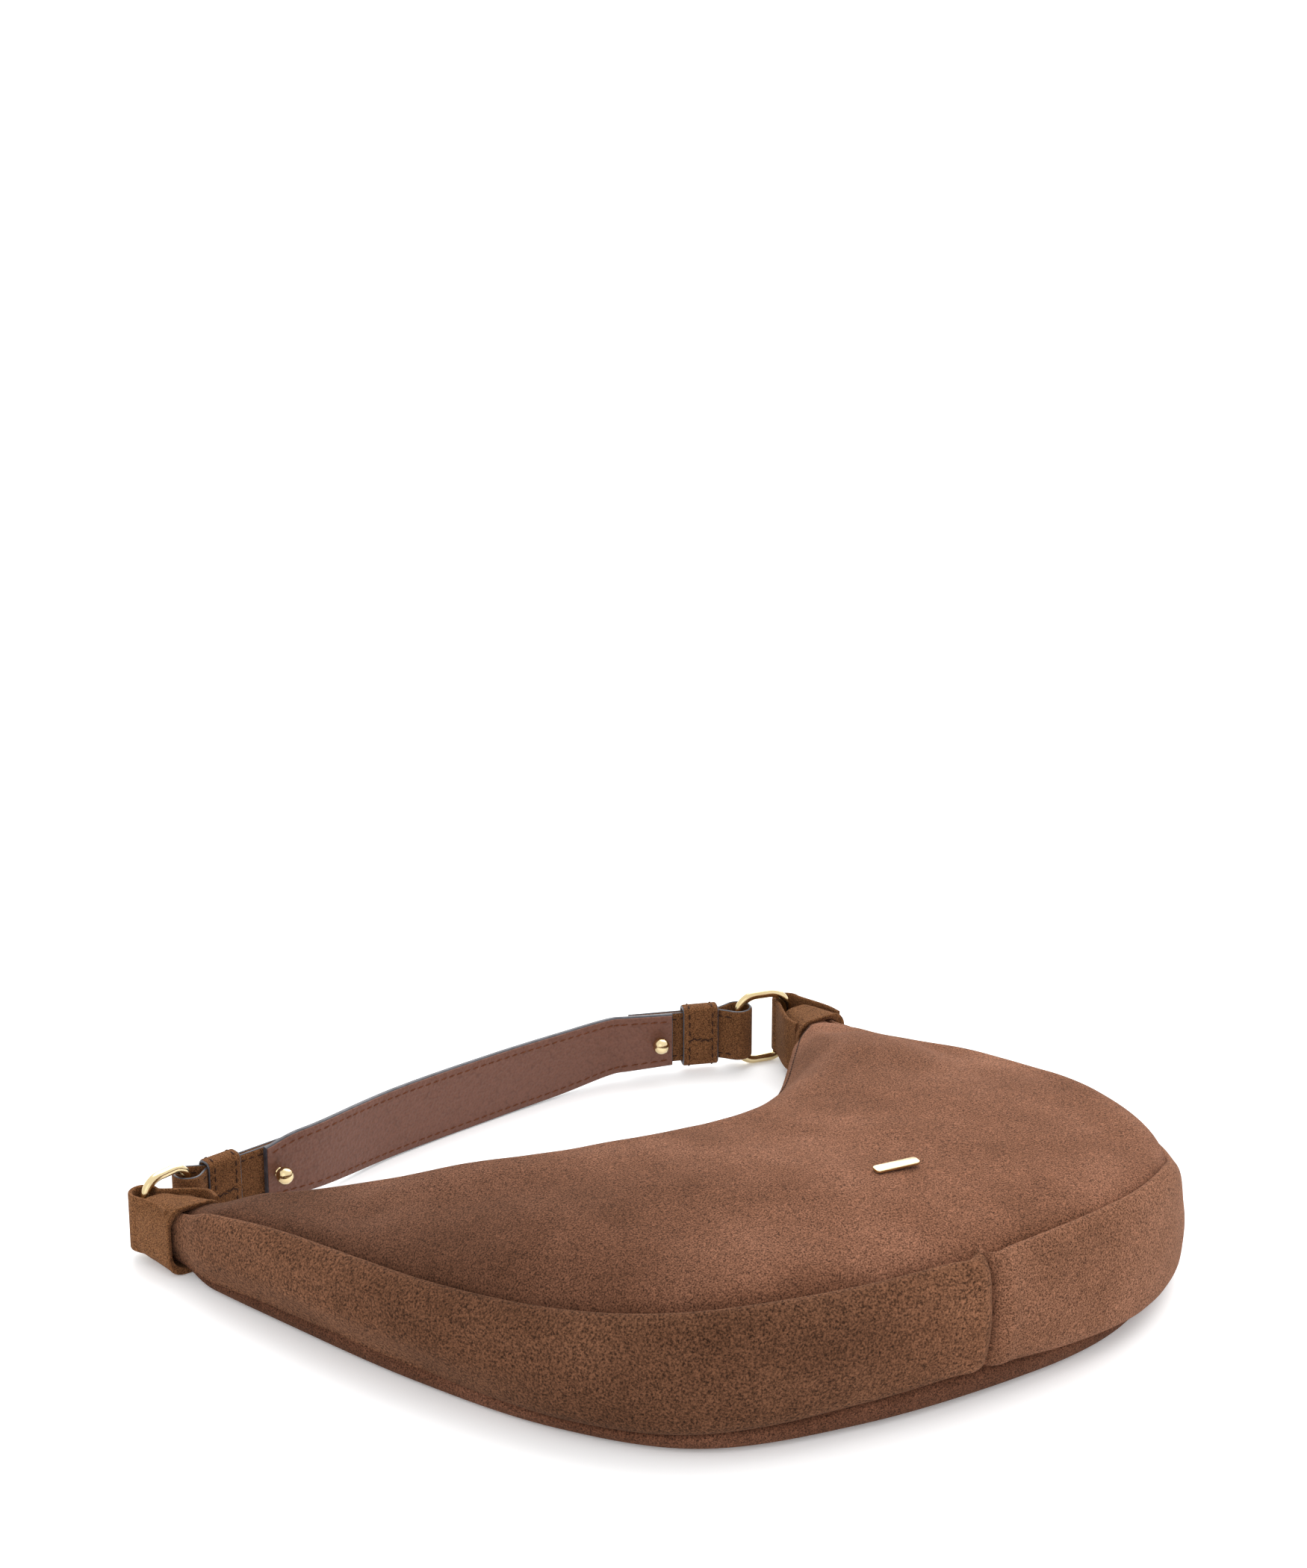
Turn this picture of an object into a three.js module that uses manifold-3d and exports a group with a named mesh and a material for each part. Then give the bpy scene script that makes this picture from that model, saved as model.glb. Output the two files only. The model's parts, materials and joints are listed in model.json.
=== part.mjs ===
// A slouchy zip-top hobo bag in suede, lying on its back panel with its short strap
// standing on edge behind the mouth. Millimetres, +Z up, +X along the line through the
// two tips of the bag, +Y from the belly towards the strap.
import * as THREE from 'three';
import { mergeVertices } from 'three/addons/utils/BufferGeometryUtils.js';
import Module from 'manifold-3d';

const wasm = await Module();
wasm.setup();

// ---- driving dimensions -------------------------------------------------------------

const GAP = 0.3; // running gap between neighbouring pieces
const SUEDE = 2.2; // thickness of a body panel
const LINING = 0.8; // thickness of the cotton lining
const LINING_DROP = 3; // from a panel's inner face to the lining
const LINING_INSET = 5; // from the outline and the mouth to the lining's edges

const SIDE_X = 153.5; // bar of each ring that a tab holds, from the bag's centre plane
const BAR_Y = { left: 9, right: 13 }; // the same bars, behind the tip line
const TAB_MOUTH_Y = -10; // plane where the tips enter the tabs

const MOUTH_R = 135; // the mouth and its zip follow this arc
const MOUTH_C = new THREE.Vector2(2, 35); // centre of that arc
const MOUTH_HALF = THREE.MathUtils.degToRad(45); // half the angle of the arc
const ZIP_Z = 17; // centre line of the zip above the back panel's face
const ZIP_SPLIT = 1.2; // space between the two rows of teeth
const TOOTH_TALL = 2.6;
const TOOTH_PITCH = 5;

const RING_WIRE = 1.85; // wire radius
const RING_WIDE = 22.3; // between the centre lines of the two long sides
const RING_TALL = 29.3; // between the centre lines of the two short sides
const RING_CORNER = 8; // corner radius of the centre line
const RING_Z = 16.6; // height of the rings' centres
const RING_ANGLE = THREE.MathUtils.degToRad(14); // from the tip line, in plan

const CHAPE_LOW = 5; // lower edge of the chapes
const CHAPE_TALL = 22.5;
const CHAPE_HALF = 1.7; // half the thickness of the two leaves sewn together
const CHAPE_BORE = 4.5; // radius of the fold round the ring
const STRAP_SET = -3.5; // the strap's middle layer from the chapes' centre line
// the strap's width and the height of its lower edge, from its left end (0) to its right end (1)
const STRAP_WIDE = [[0, 23], [0.08, 27], [0.3, 29], [0.7, 28], [0.92, 24.5], [1, 23]];
const STRAP_LOW = [[0, 5], [0.12, 3.2], [0.3, 0.7], [0.7, 0.7], [0.9, 3.6], [1, 5]];
const LAYER = 1.3; // thickness of each of the strap's two layers
const STUD_X = { left: -93, right: 100 };
const STRAP_PAST_STUD = 5; // from a stud's centre to the strap's end
const CHAPE_PAST_STUD = { left: 9, right: 12 }; // from a stud's centre to the chape's end
const KEEPER_AT = { left: 15, right: 16.5 }; // from a ring's bar to the keeper's middle
const KEEPER_LONG = 15;
const KEEPER_WALL = 1.4;
const KEEPER_PLAY = 1.2; // how much wider its hole is than the chape inside it
const STUD_BALL = 3.5; // radius of a stud's ball
const STUD_NECK = 1.9;
const STUD_FOOT = 4.4; // radius of its foot, behind the chape

// the gusset's outline in plan, from the left tip round the belly to the right tip
const OUTLINE = [
  [-153, -10.6], [-148, -38], [-139, -75], [-122, -135], [-98, -190], [-65, -230], [-10, -249],
  [57, -256], [117, -250], [157, -223], [175, -180], [169, -130], [158, -78], [156, -38], [161, -10.6],
];
const TIP_IN = { left: [-134, -10.6], right: [144, -10.6] }; // the mouth's two ends

// heights along the outline, from the left tip (0) to the right tip (1)
const SEAM_TOP = [[0, 28], [0.07, 36], [0.14, 39.5], [0.2, 41.5], [0.28, 46.5], [0.36, 53], [0.45, 53.5],
  [0.58, 57], [0.64, 55], [0.7, 49], [0.79, 44], [0.87, 39], [0.95, 31], [1, 28]];
const SEAM_LOW = [[0, 4], [0.15, 8], [0.4, 11], [0.75, 11], [0.9, 7], [1, 4]];
const CROWN = [[0, 28], [0.1, 37], [0.2, 49.5], [0.3, 59], [0.42, 62.5], [0.52, 60], [0.62, 56], [0.7, 54],
  [0.78, 51], [0.85, 45], [0.92, 35], [1, 28]];
// fullness added over the crown
const PUFF = [[0, 0], [0.15, 2], [0.35, 5], [0.6, 5], [0.7, 5], [0.8, 3], [0.92, 0.5], [1, 0]];
const MOUTH_TOP = [[0, 27], [0.2, 33], [0.5, 36], [0.8, 30], [1, 27]];
const FULL_FROM = 0.125; // from a tip to where the gusset bulges in full
const GUSSET_BULGE = 4; // how far the gusset bellies out between its seams
const BACK_TURN = 0.12; // share of the back panel that turns up to its seam
const CROWN_AT = 0.82; // where the crown lies, from the outline (0) to the mouth (1)
const CROSS_SEAM = 0.5; // where the two gusset pieces meet along the outline

// ---- colours ------------------------------------------------------------------------

const suede = (name) => material(name, 0x94603f, 0.95, 0);
const trim = (name) => material(name, 0x84532f, 0.95, 0);
const hide = (name) => material(name, 0x6b4338, 0.6, 0);
const gold = (name) => material(name, 0xd9bd82, 0.22, 1);
const cloth = (name) => material(name, 0x5b4232, 0.9, 0);

function material(name, color, roughness, metalness) {
  return new THREE.MeshStandardMaterial({ name, color, roughness, metalness });
}

// ---- small tools --------------------------------------------------------------------

// a smooth height or width through [position, value] pairs: a cubic between each two
function profile(pairs) {
  const slopes = pairs.map((_, k) => {
    const before = pairs[Math.max(k - 1, 0)];
    const after = pairs[Math.min(k + 1, pairs.length - 1)];
    return (after[1] - before[1]) / (after[0] - before[0]);
  });
  return (at) => {
    const inside = THREE.MathUtils.clamp(at, pairs[0][0], pairs[pairs.length - 1][0]);
    const k = Math.max(1, pairs.findIndex(([position]) => position >= inside));
    const [low, high] = [pairs[k - 1], pairs[k]];
    const span = high[0] - low[0];
    const t = (inside - low[0]) / span;
    const rise = t * t * (3 - 2 * t);
    return THREE.MathUtils.lerp(low[1], high[1], rise)
      + span * t * (1 - t) * (slopes[k - 1] * (1 - t) - slopes[k] * t);
  };
}

// a closed body from a list of corners and quads, turned so that its faces point out
function closedBody(corners, quads) {
  const geometry = new THREE.BufferGeometry();
  const index = quads.flatMap(([a, b, c, d]) => [a, b, c, a, c, d]);
  const volume = index.reduce((sum, _, k) => {
    if (k % 3) {
      return sum;
    }
    const [a, b, c] = [corners[index[k]], corners[index[k + 1]], corners[index[k + 2]]];
    return sum + a.dot(b.clone().cross(c));
  }, 0);
  if (volume < 0) {
    index.reverse();
  }
  const numbers = corners.flatMap((p) => p.toArray());
  geometry.setAttribute('position', new THREE.Float32BufferAttribute(numbers, 3));
  geometry.setIndex(index);
  geometry.computeVertexNormals();
  return geometry;
}

// a sheet with a front and a back face, each a function of (u, v) from 0 to 1
function sheet(front, back, nu, nv) {
  const row = nv + 1;
  const side = (nu + 1) * row;
  const corners = [];
  for (const face of [front, back]) {
    for (let i = 0; i <= nu; i += 1) {
      for (let j = 0; j <= nv; j += 1) {
        corners.push(face(i / nu, j / nv));
      }
    }
  }
  const quads = [];
  for (let i = 0; i < nu; i += 1) {
    for (let j = 0; j < nv; j += 1) {
      const a = i * row + j;
      quads.push([a, a + row, a + row + 1, a + 1]);
      quads.push([side + a, side + a + 1, side + a + row + 1, side + a + row]);
    }
  }
  for (let i = 0; i < nu; i += 1) {
    const a = i * row;
    const b = a + nv;
    quads.push([a, side + a, side + a + row, a + row]);
    quads.push([b, b + row, side + b + row, side + b]);
  }
  for (let j = 0; j < nv; j += 1) {
    const b = nu * row + j;
    quads.push([j, j + 1, side + j + 1, side + j]);
    quads.push([b, side + b, side + b + 1, b + 1]);
  }
  return closedBody(corners, quads);
}

// a round wire along a closed path
function loopWire(path, radius, steps, sides) {
  const corners = [];
  const frames = path.computeFrenetFrames(steps, true);
  for (let i = 0; i < steps; i += 1) {
    const centre = path.getPointAt(i / steps);
    for (let j = 0; j < sides; j += 1) {
      const turn = (2 * Math.PI * j) / sides;
      corners.push(centre.clone()
        .addScaledVector(frames.normals[i], radius * Math.cos(turn))
        .addScaledVector(frames.binormals[i], radius * Math.sin(turn)));
    }
  }
  const quads = [];
  for (let i = 0; i < steps; i += 1) {
    for (let j = 0; j < sides; j += 1) {
      const i2 = (i + 1) % steps;
      const j2 = (j + 1) % sides;
      quads.push([i * sides + j, i2 * sides + j, i2 * sides + j2, i * sides + j2]);
    }
  }
  return closedBody(corners, quads);
}

// an outline in plan raised from one height to another
function prism(points, low, high, holes = []) {
  const shape = new THREE.Shape(points);
  shape.holes = holes.map((hole) => new THREE.Path(hole));
  const geometry = new THREE.ExtrudeGeometry(shape, { depth: high - low, bevelEnabled: false });
  return geometry.translate(0, 0, low);
}

function circle(centre, radius, count, from = 0, to = 2 * Math.PI) {
  const whole = Math.abs(to - from) > 2 * Math.PI - 0.001;
  const steps = whole ? count : count - 1;
  return Array.from({ length: count }, (_, k) => {
    const turn = from + ((to - from) * k) / steps;
    return new THREE.Vector2(centre.x + radius * Math.cos(turn), centre.y + radius * Math.sin(turn));
  });
}

// a mesh as a solid for joining and cutting
function toSolid(geometry) {
  const bare = geometry.clone();
  bare.deleteAttribute('normal');
  if (bare.getAttribute('uv')) {
    bare.deleteAttribute('uv');
  }
  const merged = mergeVertices(bare, 1e-4);
  return new wasm.Manifold(new wasm.Mesh({
    numProp: 3,
    vertProperties: new Float32Array(merged.getAttribute('position').array),
    triVerts: new Uint32Array(merged.getIndex().array),
  }));
}

function fromSolid(solid) {
  const mesh = solid.getMesh();
  const geometry = new THREE.BufferGeometry();
  geometry.setAttribute('position', new THREE.Float32BufferAttribute(mesh.vertProperties, 3));
  geometry.setIndex(Array.from(mesh.triVerts));
  geometry.computeVertexNormals();
  return geometry;
}

function cut(geometry, ...tools) {
  return fromSolid(tools.reduce((solid, tool) => solid.subtract(toSolid(tool)), toSolid(geometry)));
}

function join(geometry, ...more) {
  return fromSolid(more.reduce((solid, other) => solid.add(toSolid(other)), toSolid(geometry)));
}

const bag = new THREE.Group();

function place(name, geometry, look) {
  const mesh = new THREE.Mesh(geometry, look);
  mesh.name = name;
  bag.add(mesh);
  return mesh;
}

// ---- the body: outline, mouth and the surfaces between them ---------------------------

const outline = new THREE.CatmullRomCurve3(
  OUTLINE.map(([x, y]) => new THREE.Vector3(x, y, 0)), false, 'centripetal',
);
outline.arcLengthDivisions = 600;

function mouthCurve() {
  const path = new THREE.CurvePath();
  const down = -Math.PI / 2;
  const arc = circle(MOUTH_C, MOUTH_R, 25, down - MOUTH_HALF, down + MOUTH_HALF);
  const points = [new THREE.Vector2(...TIP_IN.left), ...arc, new THREE.Vector2(...TIP_IN.right)];
  for (let k = 1; k < points.length; k += 1) {
    const [a, b] = [points[k - 1], points[k]];
    path.add(new THREE.LineCurve3(new THREE.Vector3(a.x, a.y, 0), new THREE.Vector3(b.x, b.y, 0)));
  }
  return path;
}

const mouth = mouthCurve();
const seamTop = profile(SEAM_TOP);
const seamLow = profile(SEAM_LOW);
const crown = profile(CROWN);
const puff = profile(PUFF);
const mouthTop = profile(MOUTH_TOP);

function edgeAt(s) {
  const point = outline.getPointAt(THREE.MathUtils.clamp(s, 0, 1));
  const along = outline.getTangentAt(THREE.MathUtils.clamp(s, 0, 1));
  return { point, out: new THREE.Vector3(along.y, -along.x, 0) };
}

// a point of the mouth, moved into the bag by a distance
function mouthAt(s, inward = 0) {
  const point = mouth.getPointAt(THREE.MathUtils.clamp(s, 0, 1));
  const low = mouth.getPointAt(THREE.MathUtils.clamp(s - 0.004, 0, 1));
  const high = mouth.getPointAt(THREE.MathUtils.clamp(s + 0.004, 0, 1));
  const along = high.sub(low).normalize();
  return point.add(new THREE.Vector3(along.y, -along.x, 0).multiplyScalar(inward));
}

// plan position between the outline (r = 0) and the mouth (r = 1)
const planAt = (s, r) => edgeAt(s).point.lerp(mouthAt(s), r);

// height of the front panel's outer face
function frontTop(s, r) {
  const rise = Math.min(r / CROWN_AT, 1);
  const eased = rise * (2 - rise);
  const high = seamTop(s) + (crown(s) - seamTop(s)) * eased + puff(s) * Math.sin(Math.PI * rise);
  const roll = Math.max(r - CROWN_AT, 0) / (1 - CROWN_AT);
  return high + SUEDE - (crown(s) - mouthTop(s)) * roll * roll;
}

// height of the back panel's inner face: flat on the ground, turned up at the seam
function backTop(s, r) {
  const turn = Math.max(1 - r / BACK_TURN, 0);
  return SUEDE + (seamLow(s) - SUEDE) * turn * turn;
}

const lifted = (point, z) => point.clone().setZ(z);

function bodyPanels() {
  place('front_panel', sheet(
    (u, v) => lifted(planAt(u, v), frontTop(u, v)),
    (u, v) => lifted(planAt(u, v), frontTop(u, v) - SUEDE),
    44, 11,
  ), suede('suede'));
  place('back_panel', sheet(
    (u, v) => lifted(planAt(u, v ** 1.6), backTop(u, v ** 1.6)),
    (u, v) => lifted(planAt(u, v ** 1.6), backTop(u, v ** 1.6) - SUEDE),
    44, 8,
  ), suede('suede'));
}

// one piece of the gusset between two places along the outline
function gussetPiece(name, from, to, steps) {
  const at = (u, v, depth) => {
    const s = THREE.MathUtils.lerp(from, to, u);
    const { point, out } = edgeAt(s);
    const z = THREE.MathUtils.lerp(seamLow(s) + 2 * GAP, seamTop(s) - 2 * GAP, v);
    const bulge = GUSSET_BULGE * Math.sin(Math.PI * v) * Math.min(1, s / FULL_FROM, (1 - s) / FULL_FROM);
    return lifted(point.addScaledVector(out, bulge - depth), z);
  };
  place(name, sheet((u, v) => at(u, v, 0), (u, v) => at(u, v, SUEDE), steps, 5), suede('suede'));
}

// the lining: two bags' halves hung inside the panels, clear of the gusset and the zip
function linings() {
  const at = (u, v, height) => {
    const s = THREE.MathUtils.lerp(0.03, 0.97, u);
    const margin = LINING_INSET / edgeAt(s).point.distanceTo(mouthAt(s));
    const r = THREE.MathUtils.lerp(margin, 1 - margin, v);
    return lifted(planAt(s, r), height(s, r));
  };
  const front = (depth) => (s, r) => frontTop(s, r) - SUEDE - LINING_DROP - depth;
  const back = (depth) => (s, r) => backTop(s, r) + LINING_DROP + depth;
  place('lining_front', sheet(
    (u, v) => at(u, v, front(0)), (u, v) => at(u, v, front(LINING)), 30, 7,
  ), cloth('lining'));
  place('lining_back', sheet(
    (u, v) => at(u, v, back(0)), (u, v) => at(u, v, back(LINING)), 30, 5,
  ), cloth('lining'));
}

// ---- the mouth: turned hems, zip tapes, teeth, stops -----------------------------------

// an upright band that follows the mouth, between two depths and two heights
function band(name, depth, thick, low, high, look, from = 0.02, to = 0.98, steps = 44) {
  const at = (u, v, inward) => {
    const s = THREE.MathUtils.lerp(from, to, u);
    return lifted(mouthAt(s, inward), THREE.MathUtils.lerp(low(s), high(s), v));
  };
  place(name, sheet((u, v) => at(u, v, depth), (u, v) => at(u, v, depth + thick), steps, 1), look);
}

const HEM_TALL = 6;
const HEM_THICK = 1.2;
const TAPE_DEPTH = HEM_THICK + GAP;
const TAPE_THICK = 0.8;
const TEETH_FROM = 0.08;
const TEETH_TO = 0.92;
const TEETH_NEAR = TAPE_DEPTH - 0.4;
const TEETH_THICK = 1.6;

function hemsAndTapes() {
  const under = (s) => mouthTop(s) - GAP;
  band('hem_front', 0, HEM_THICK, (s) => under(s) - HEM_TALL, under, trim('suede_trim'));
  band('hem_back', 0, HEM_THICK, () => SUEDE + GAP, () => SUEDE + GAP + HEM_TALL, trim('suede_trim'));
  const upper = ZIP_Z + ZIP_SPLIT / 2 + TOOTH_TALL + GAP;
  const lower = ZIP_Z - ZIP_SPLIT / 2 - TOOTH_TALL - GAP;
  band('zip_tape_front', TAPE_DEPTH, TAPE_THICK, () => upper, (s) => under(s) - 0.5, cloth('zip_tape'));
  band('zip_tape_back', TAPE_DEPTH, TAPE_THICK, () => SUEDE + GAP + 0.5, () => lower, cloth('zip_tape'));
}

// a row of teeth: a cord with every second stretch standing out towards the other row
function teethRow(name, side, phase) {
  const length = mouth.getLength() * (TEETH_TO - TEETH_FROM);
  const count = Math.round(length / TOOTH_PITCH);
  const stations = [];
  for (let k = 0; k < count; k += 1) {
    const tall = (k + phase) % 2 === 0;
    stations.push([k / count + 0.0002, tall], [(k + 1) / count - 0.0002, tall]);
  }
  const at = (k, v, inward) => {
    const [u, tall] = stations[k];
    const s = THREE.MathUtils.lerp(TEETH_FROM, TEETH_TO, u);
    const tip = ZIP_SPLIT / 2 + (tall ? 0 : 1);
    const root = ZIP_SPLIT / 2 + TOOTH_TALL;
    return lifted(mouthAt(s, inward), ZIP_Z + side * THREE.MathUtils.lerp(tip, root, v));
  };
  const steps = stations.length - 1;
  place(name, sheet(
    (u, v) => at(Math.round(u * steps), v, TEETH_NEAR),
    (u, v) => at(Math.round(u * steps), v, TEETH_NEAR + TEETH_THICK),
    steps, 1,
  ), gold('zip_metal'));
}

function zipStop(name, s) {
  const centre = mouthAt(s, TAPE_DEPTH + 0.4);
  const ahead = mouthAt(s + 0.01, TAPE_DEPTH + 0.4);
  const stop = new THREE.BoxGeometry(3, 1.8, 2 * TOOTH_TALL + ZIP_SPLIT);
  const mesh = place(name, stop, gold('zip_metal'));
  mesh.position.set(centre.x, centre.y, ZIP_Z);
  mesh.rotation.z = Math.atan2(ahead.y - centre.y, ahead.x - centre.x);
}

// ---- the zip's slider and pull ----------------------------------------------------------

const SLIDER_TURN = THREE.MathUtils.degToRad(37); // place along the mouth's arc, from its middle
const SLIDER_LONG = 11;
const SLIDER_TALL = 8.4;
const PLATE_THICK = 1.1;
const PLATE_OUT = -1.1; // outer face of the outer plate, measured into the bag
const PIN_RADIUS = 0.75; // the upright pin that the pull swings on
const PIN_OUT = 1.9; // from the outer plate to the pin's centre
const PULL_TURN = THREE.MathUtils.degToRad(-10);

function slider() {
  const group = new THREE.Group();
  group.position.set(MOUTH_C.x, MOUTH_C.y, ZIP_Z);
  group.rotation.z = SLIDER_TURN;
  const plate = (depth) => new THREE.BoxGeometry(SLIDER_LONG, PLATE_THICK, SLIDER_TALL)
    .translate(0, -MOUTH_R - depth - PLATE_THICK / 2, 0);
  const inner = TEETH_NEAR + TEETH_THICK + GAP;
  const core = new THREE.BoxGeometry(3, inner - PLATE_OUT + PLATE_THICK - 0.4, 0.5)
    .translate(3.5, -MOUTH_R - (PLATE_OUT + inner + PLATE_THICK) / 2, 0);
  const ear = new THREE.BoxGeometry(3.2, 2.8, 2).translate(0, -MOUTH_R - PLATE_OUT + 1.3, 0);
  const pin = new THREE.CylinderGeometry(PIN_RADIUS, PIN_RADIUS, 5, 12).rotateX(Math.PI / 2)
    .translate(0, -MOUTH_R - PLATE_OUT + PIN_OUT, 0);
  const mesh = new THREE.Mesh(join(plate(PLATE_OUT), plate(inner), core, ear, pin), gold('gold'));
  mesh.name = 'zip_slider';
  group.add(mesh);
  const swing = new THREE.Group();
  swing.position.set(0, -MOUTH_R - PLATE_OUT + PIN_OUT, 0);
  swing.rotation.z = PULL_TURN;
  const tab = new THREE.BoxGeometry(17, 1.4, 5.4).translate(-10.9, 0, 0);
  const fork = (side) => new THREE.BoxGeometry(4.4, 2.6, 1).translate(-1, 0, side * 1.9);
  const link = new THREE.BoxGeometry(1.6, 1.4, 4.8).translate(-2.9, 0, 0);
  const bore = new THREE.CylinderGeometry(1.0, 1.0, 8, 12).rotateX(Math.PI / 2);
  const eye = new THREE.CylinderGeometry(1.5, 1.5, 4, 12).translate(-16.4, 0, 0);
  const pull = new THREE.Mesh(cut(join(tab, fork(1), fork(-1), link), bore, eye), gold('gold'));
  pull.name = 'zip_pull';
  swing.add(pull);
  group.add(swing);
  bag.add(group);
}

// ---- tabs: a sleeve on each tip that folds round the ring's bar --------------------------

const TAB_WALL = 1.6;
const TAB_HALF = 11; // half the sleeve's width at its mouth
const TAB_FOLD = 6.1; // outer radius of the fold round the bar
const TAB_SLEEVE = 15; // length of the closed part of the sleeve
const TAB_TOP = 29.6;
const FOLD_LOW = 5;
const FOLD_HIGH = 27.5;

function tabOutline(bar, mouthX, half, radius, start) {
  const left = new THREE.Vector2(mouthX - half, start);
  const right = new THREE.Vector2(mouthX + half, start);
  const arc = circle(bar, radius, 9, Math.PI * 0.98, Math.PI * 0.02);
  return [right, left, ...arc].reverse();
}

function tab(name, side) {
  const bar = tabBar(side);
  const outside = side < 0 ? OUTLINE[0] : OUTLINE[OUTLINE.length - 1];
  const inside = side < 0 ? TIP_IN.left : TIP_IN.right;
  const middle = (outside[0] + inside[0]) / 2;
  const outer = tabOutline(bar, middle, TAB_HALF, TAB_FOLD, TAB_MOUTH_Y);
  const inner = tabOutline(bar, middle, TAB_HALF - TAB_WALL, TAB_FOLD - TAB_WALL, TAB_MOUTH_Y - 1);
  const sleeveEnd = TAB_MOUTH_Y + TAB_SLEEVE;
  const beyond = new THREE.BoxGeometry(60, 60, 80).translate(bar.x, sleeveEnd + 30, 0);
  const sleeve = cut(prism(outer, GAP, TAB_TOP), prism(inner, GAP + TAB_WALL, TAB_TOP - TAB_WALL), beyond);
  const fold = cut(prism(outer, FOLD_LOW, FOLD_HIGH), prism(inner, FOLD_LOW - 1, FOLD_HIGH + 1));
  place(name, join(sleeve, fold), trim('suede_trim'));
}

// ---- rings --------------------------------------------------------------------------------

function ringPath() {
  const [w, h, c] = [RING_WIDE / 2, RING_TALL / 2, RING_CORNER];
  const corner = (x, y, from) => circle(new THREE.Vector2(x, y), c, 6, from, from + Math.PI / 2);
  const points = [
    ...corner(w - c, h - c, 0), ...corner(c - w, h - c, Math.PI / 2),
    ...corner(c - w, c - h, Math.PI), ...corner(w - c, c - h, 1.5 * Math.PI),
  ];
  return new THREE.CatmullRomCurve3(points.map((p) => new THREE.Vector3(p.x, 0, p.y)), true, 'centripetal');
}

// the far bar of each ring, that its chape folds round
const tabBar = (side) => new THREE.Vector2(side * SIDE_X, side < 0 ? BAR_Y.left : BAR_Y.right);
const chapeBar = (side) => tabBar(side).add(
  new THREE.Vector2(-side * RING_WIDE * Math.cos(RING_ANGLE), RING_WIDE * Math.sin(RING_ANGLE)),
);

function ring(name, side) {
  const mesh = place(name, loopWire(ringPath(), RING_WIRE, 36, 8), gold('gold'));
  const middle = tabBar(side).lerp(chapeBar(side), 0.5);
  mesh.position.set(middle.x, middle.y, RING_Z);
  mesh.rotation.z = -side * RING_ANGLE;
}

// ---- strap, chapes, studs and keepers --------------------------------------------------------

const CHAPE_END_Y = { left: 18.5, right: 32 }; // centre line abreast of each stud
const leftStud = new THREE.Vector2(STUD_X.left, CHAPE_END_Y.left);
const rightStud = new THREE.Vector2(STUD_X.right, CHAPE_END_Y.right);

// centre line of the chapes and, set to one side, of the strap: straight at both ends
function strapCurve() {
  const [a, b] = [chapeBar(-1), chapeBar(1)];
  const past = (bar, stud, d) => stud.clone().add(stud.clone().sub(bar).setLength(d));
  const points = [
    a, leftStud, past(a, leftStud, 20), new THREE.Vector2(-36, 31), new THREE.Vector2(20, 38),
    new THREE.Vector2(56, 40),
    past(b, rightStud, 20), past(b, rightStud, 13), rightStud, b,
  ];
  return new THREE.CatmullRomCurve3(points.map((p) => new THREE.Vector3(p.x, p.y, 0)), false, 'centripetal');
}

const strapLine = strapCurve();
strapLine.arcLengthDivisions = 600;

// the strap line's parameter at a given x
function strapAt(x) {
  let [low, high] = [0, 1];
  for (let k = 0; k < 40; k += 1) {
    const half = (low + high) / 2;
    if (strapLine.getPointAt(half).x < x) {
      low = half;
    } else {
      high = half;
    }
  }
  return low;
}

const strapFrom = strapAt(STUD_X.left - STRAP_PAST_STUD);
const strapTo = strapAt(STUD_X.right + STRAP_PAST_STUD);
const strapWide = profile(STRAP_WIDE);
const strapLow = profile(STRAP_LOW);

function strapPoint(t, sideways) {
  const point = strapLine.getPointAt(t);
  const along = strapLine.getTangentAt(t);
  return point.add(new THREE.Vector3(-along.y, along.x, 0).multiplyScalar(sideways));
}

function strapLayer(depth) {
  const at = (u, v, sideways) => {
    const height = strapLow(u) + strapWide(u) * v;
    return lifted(strapPoint(THREE.MathUtils.lerp(strapFrom, strapTo, u), sideways), height);
  };
  const [near, far] = [STRAP_SET + depth, STRAP_SET + depth + LAYER];
  return sheet((u, v) => at(u, v, near), (u, v) => at(u, v, far), 36, 2);
}

// a frame whose +Y runs out of the strap's outer face at a stud
function atStud(side, geometry) {
  const [stud, bar] = side < 0 ? [leftStud, chapeBar(-1)] : [rightStud, chapeBar(1)];
  const along = side < 0 ? stud.clone().sub(bar) : bar.clone().sub(stud);
  return geometry.rotateZ(along.angle()).translate(stud.x, stud.y, CHAPE_LOW + CHAPE_TALL / 2);
}

function studHole(side) {
  const radius = STUD_NECK + 0.5;
  return atStud(side, new THREE.CylinderGeometry(radius, radius, 30, 12));
}

// the slit beside the hole in the strap's end, on the side away from the ring
function studSlit(side) {
  return atStud(side, new THREE.BoxGeometry(7, 16, 0.8).translate(-side * 4, -6, 0));
}

function strap() {
  const holes = () => [studHole(-1), studHole(1), studSlit(-1), studSlit(1)];
  place('strap_lining', cut(strapLayer(-LAYER - GAP / 2), ...holes()), hide('strap_lining'));
  place('strap_outer', cut(strapLayer(GAP / 2), ...holes()), suede('suede'));
}

const FOLD_LONG = 7; // from the bar's centre to where the chape's two leaves meet
const FOLD_WALL = 1.8;
const FOLD_REACH = 1.9; // half the angle of the fold round the bar, in radians

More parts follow.
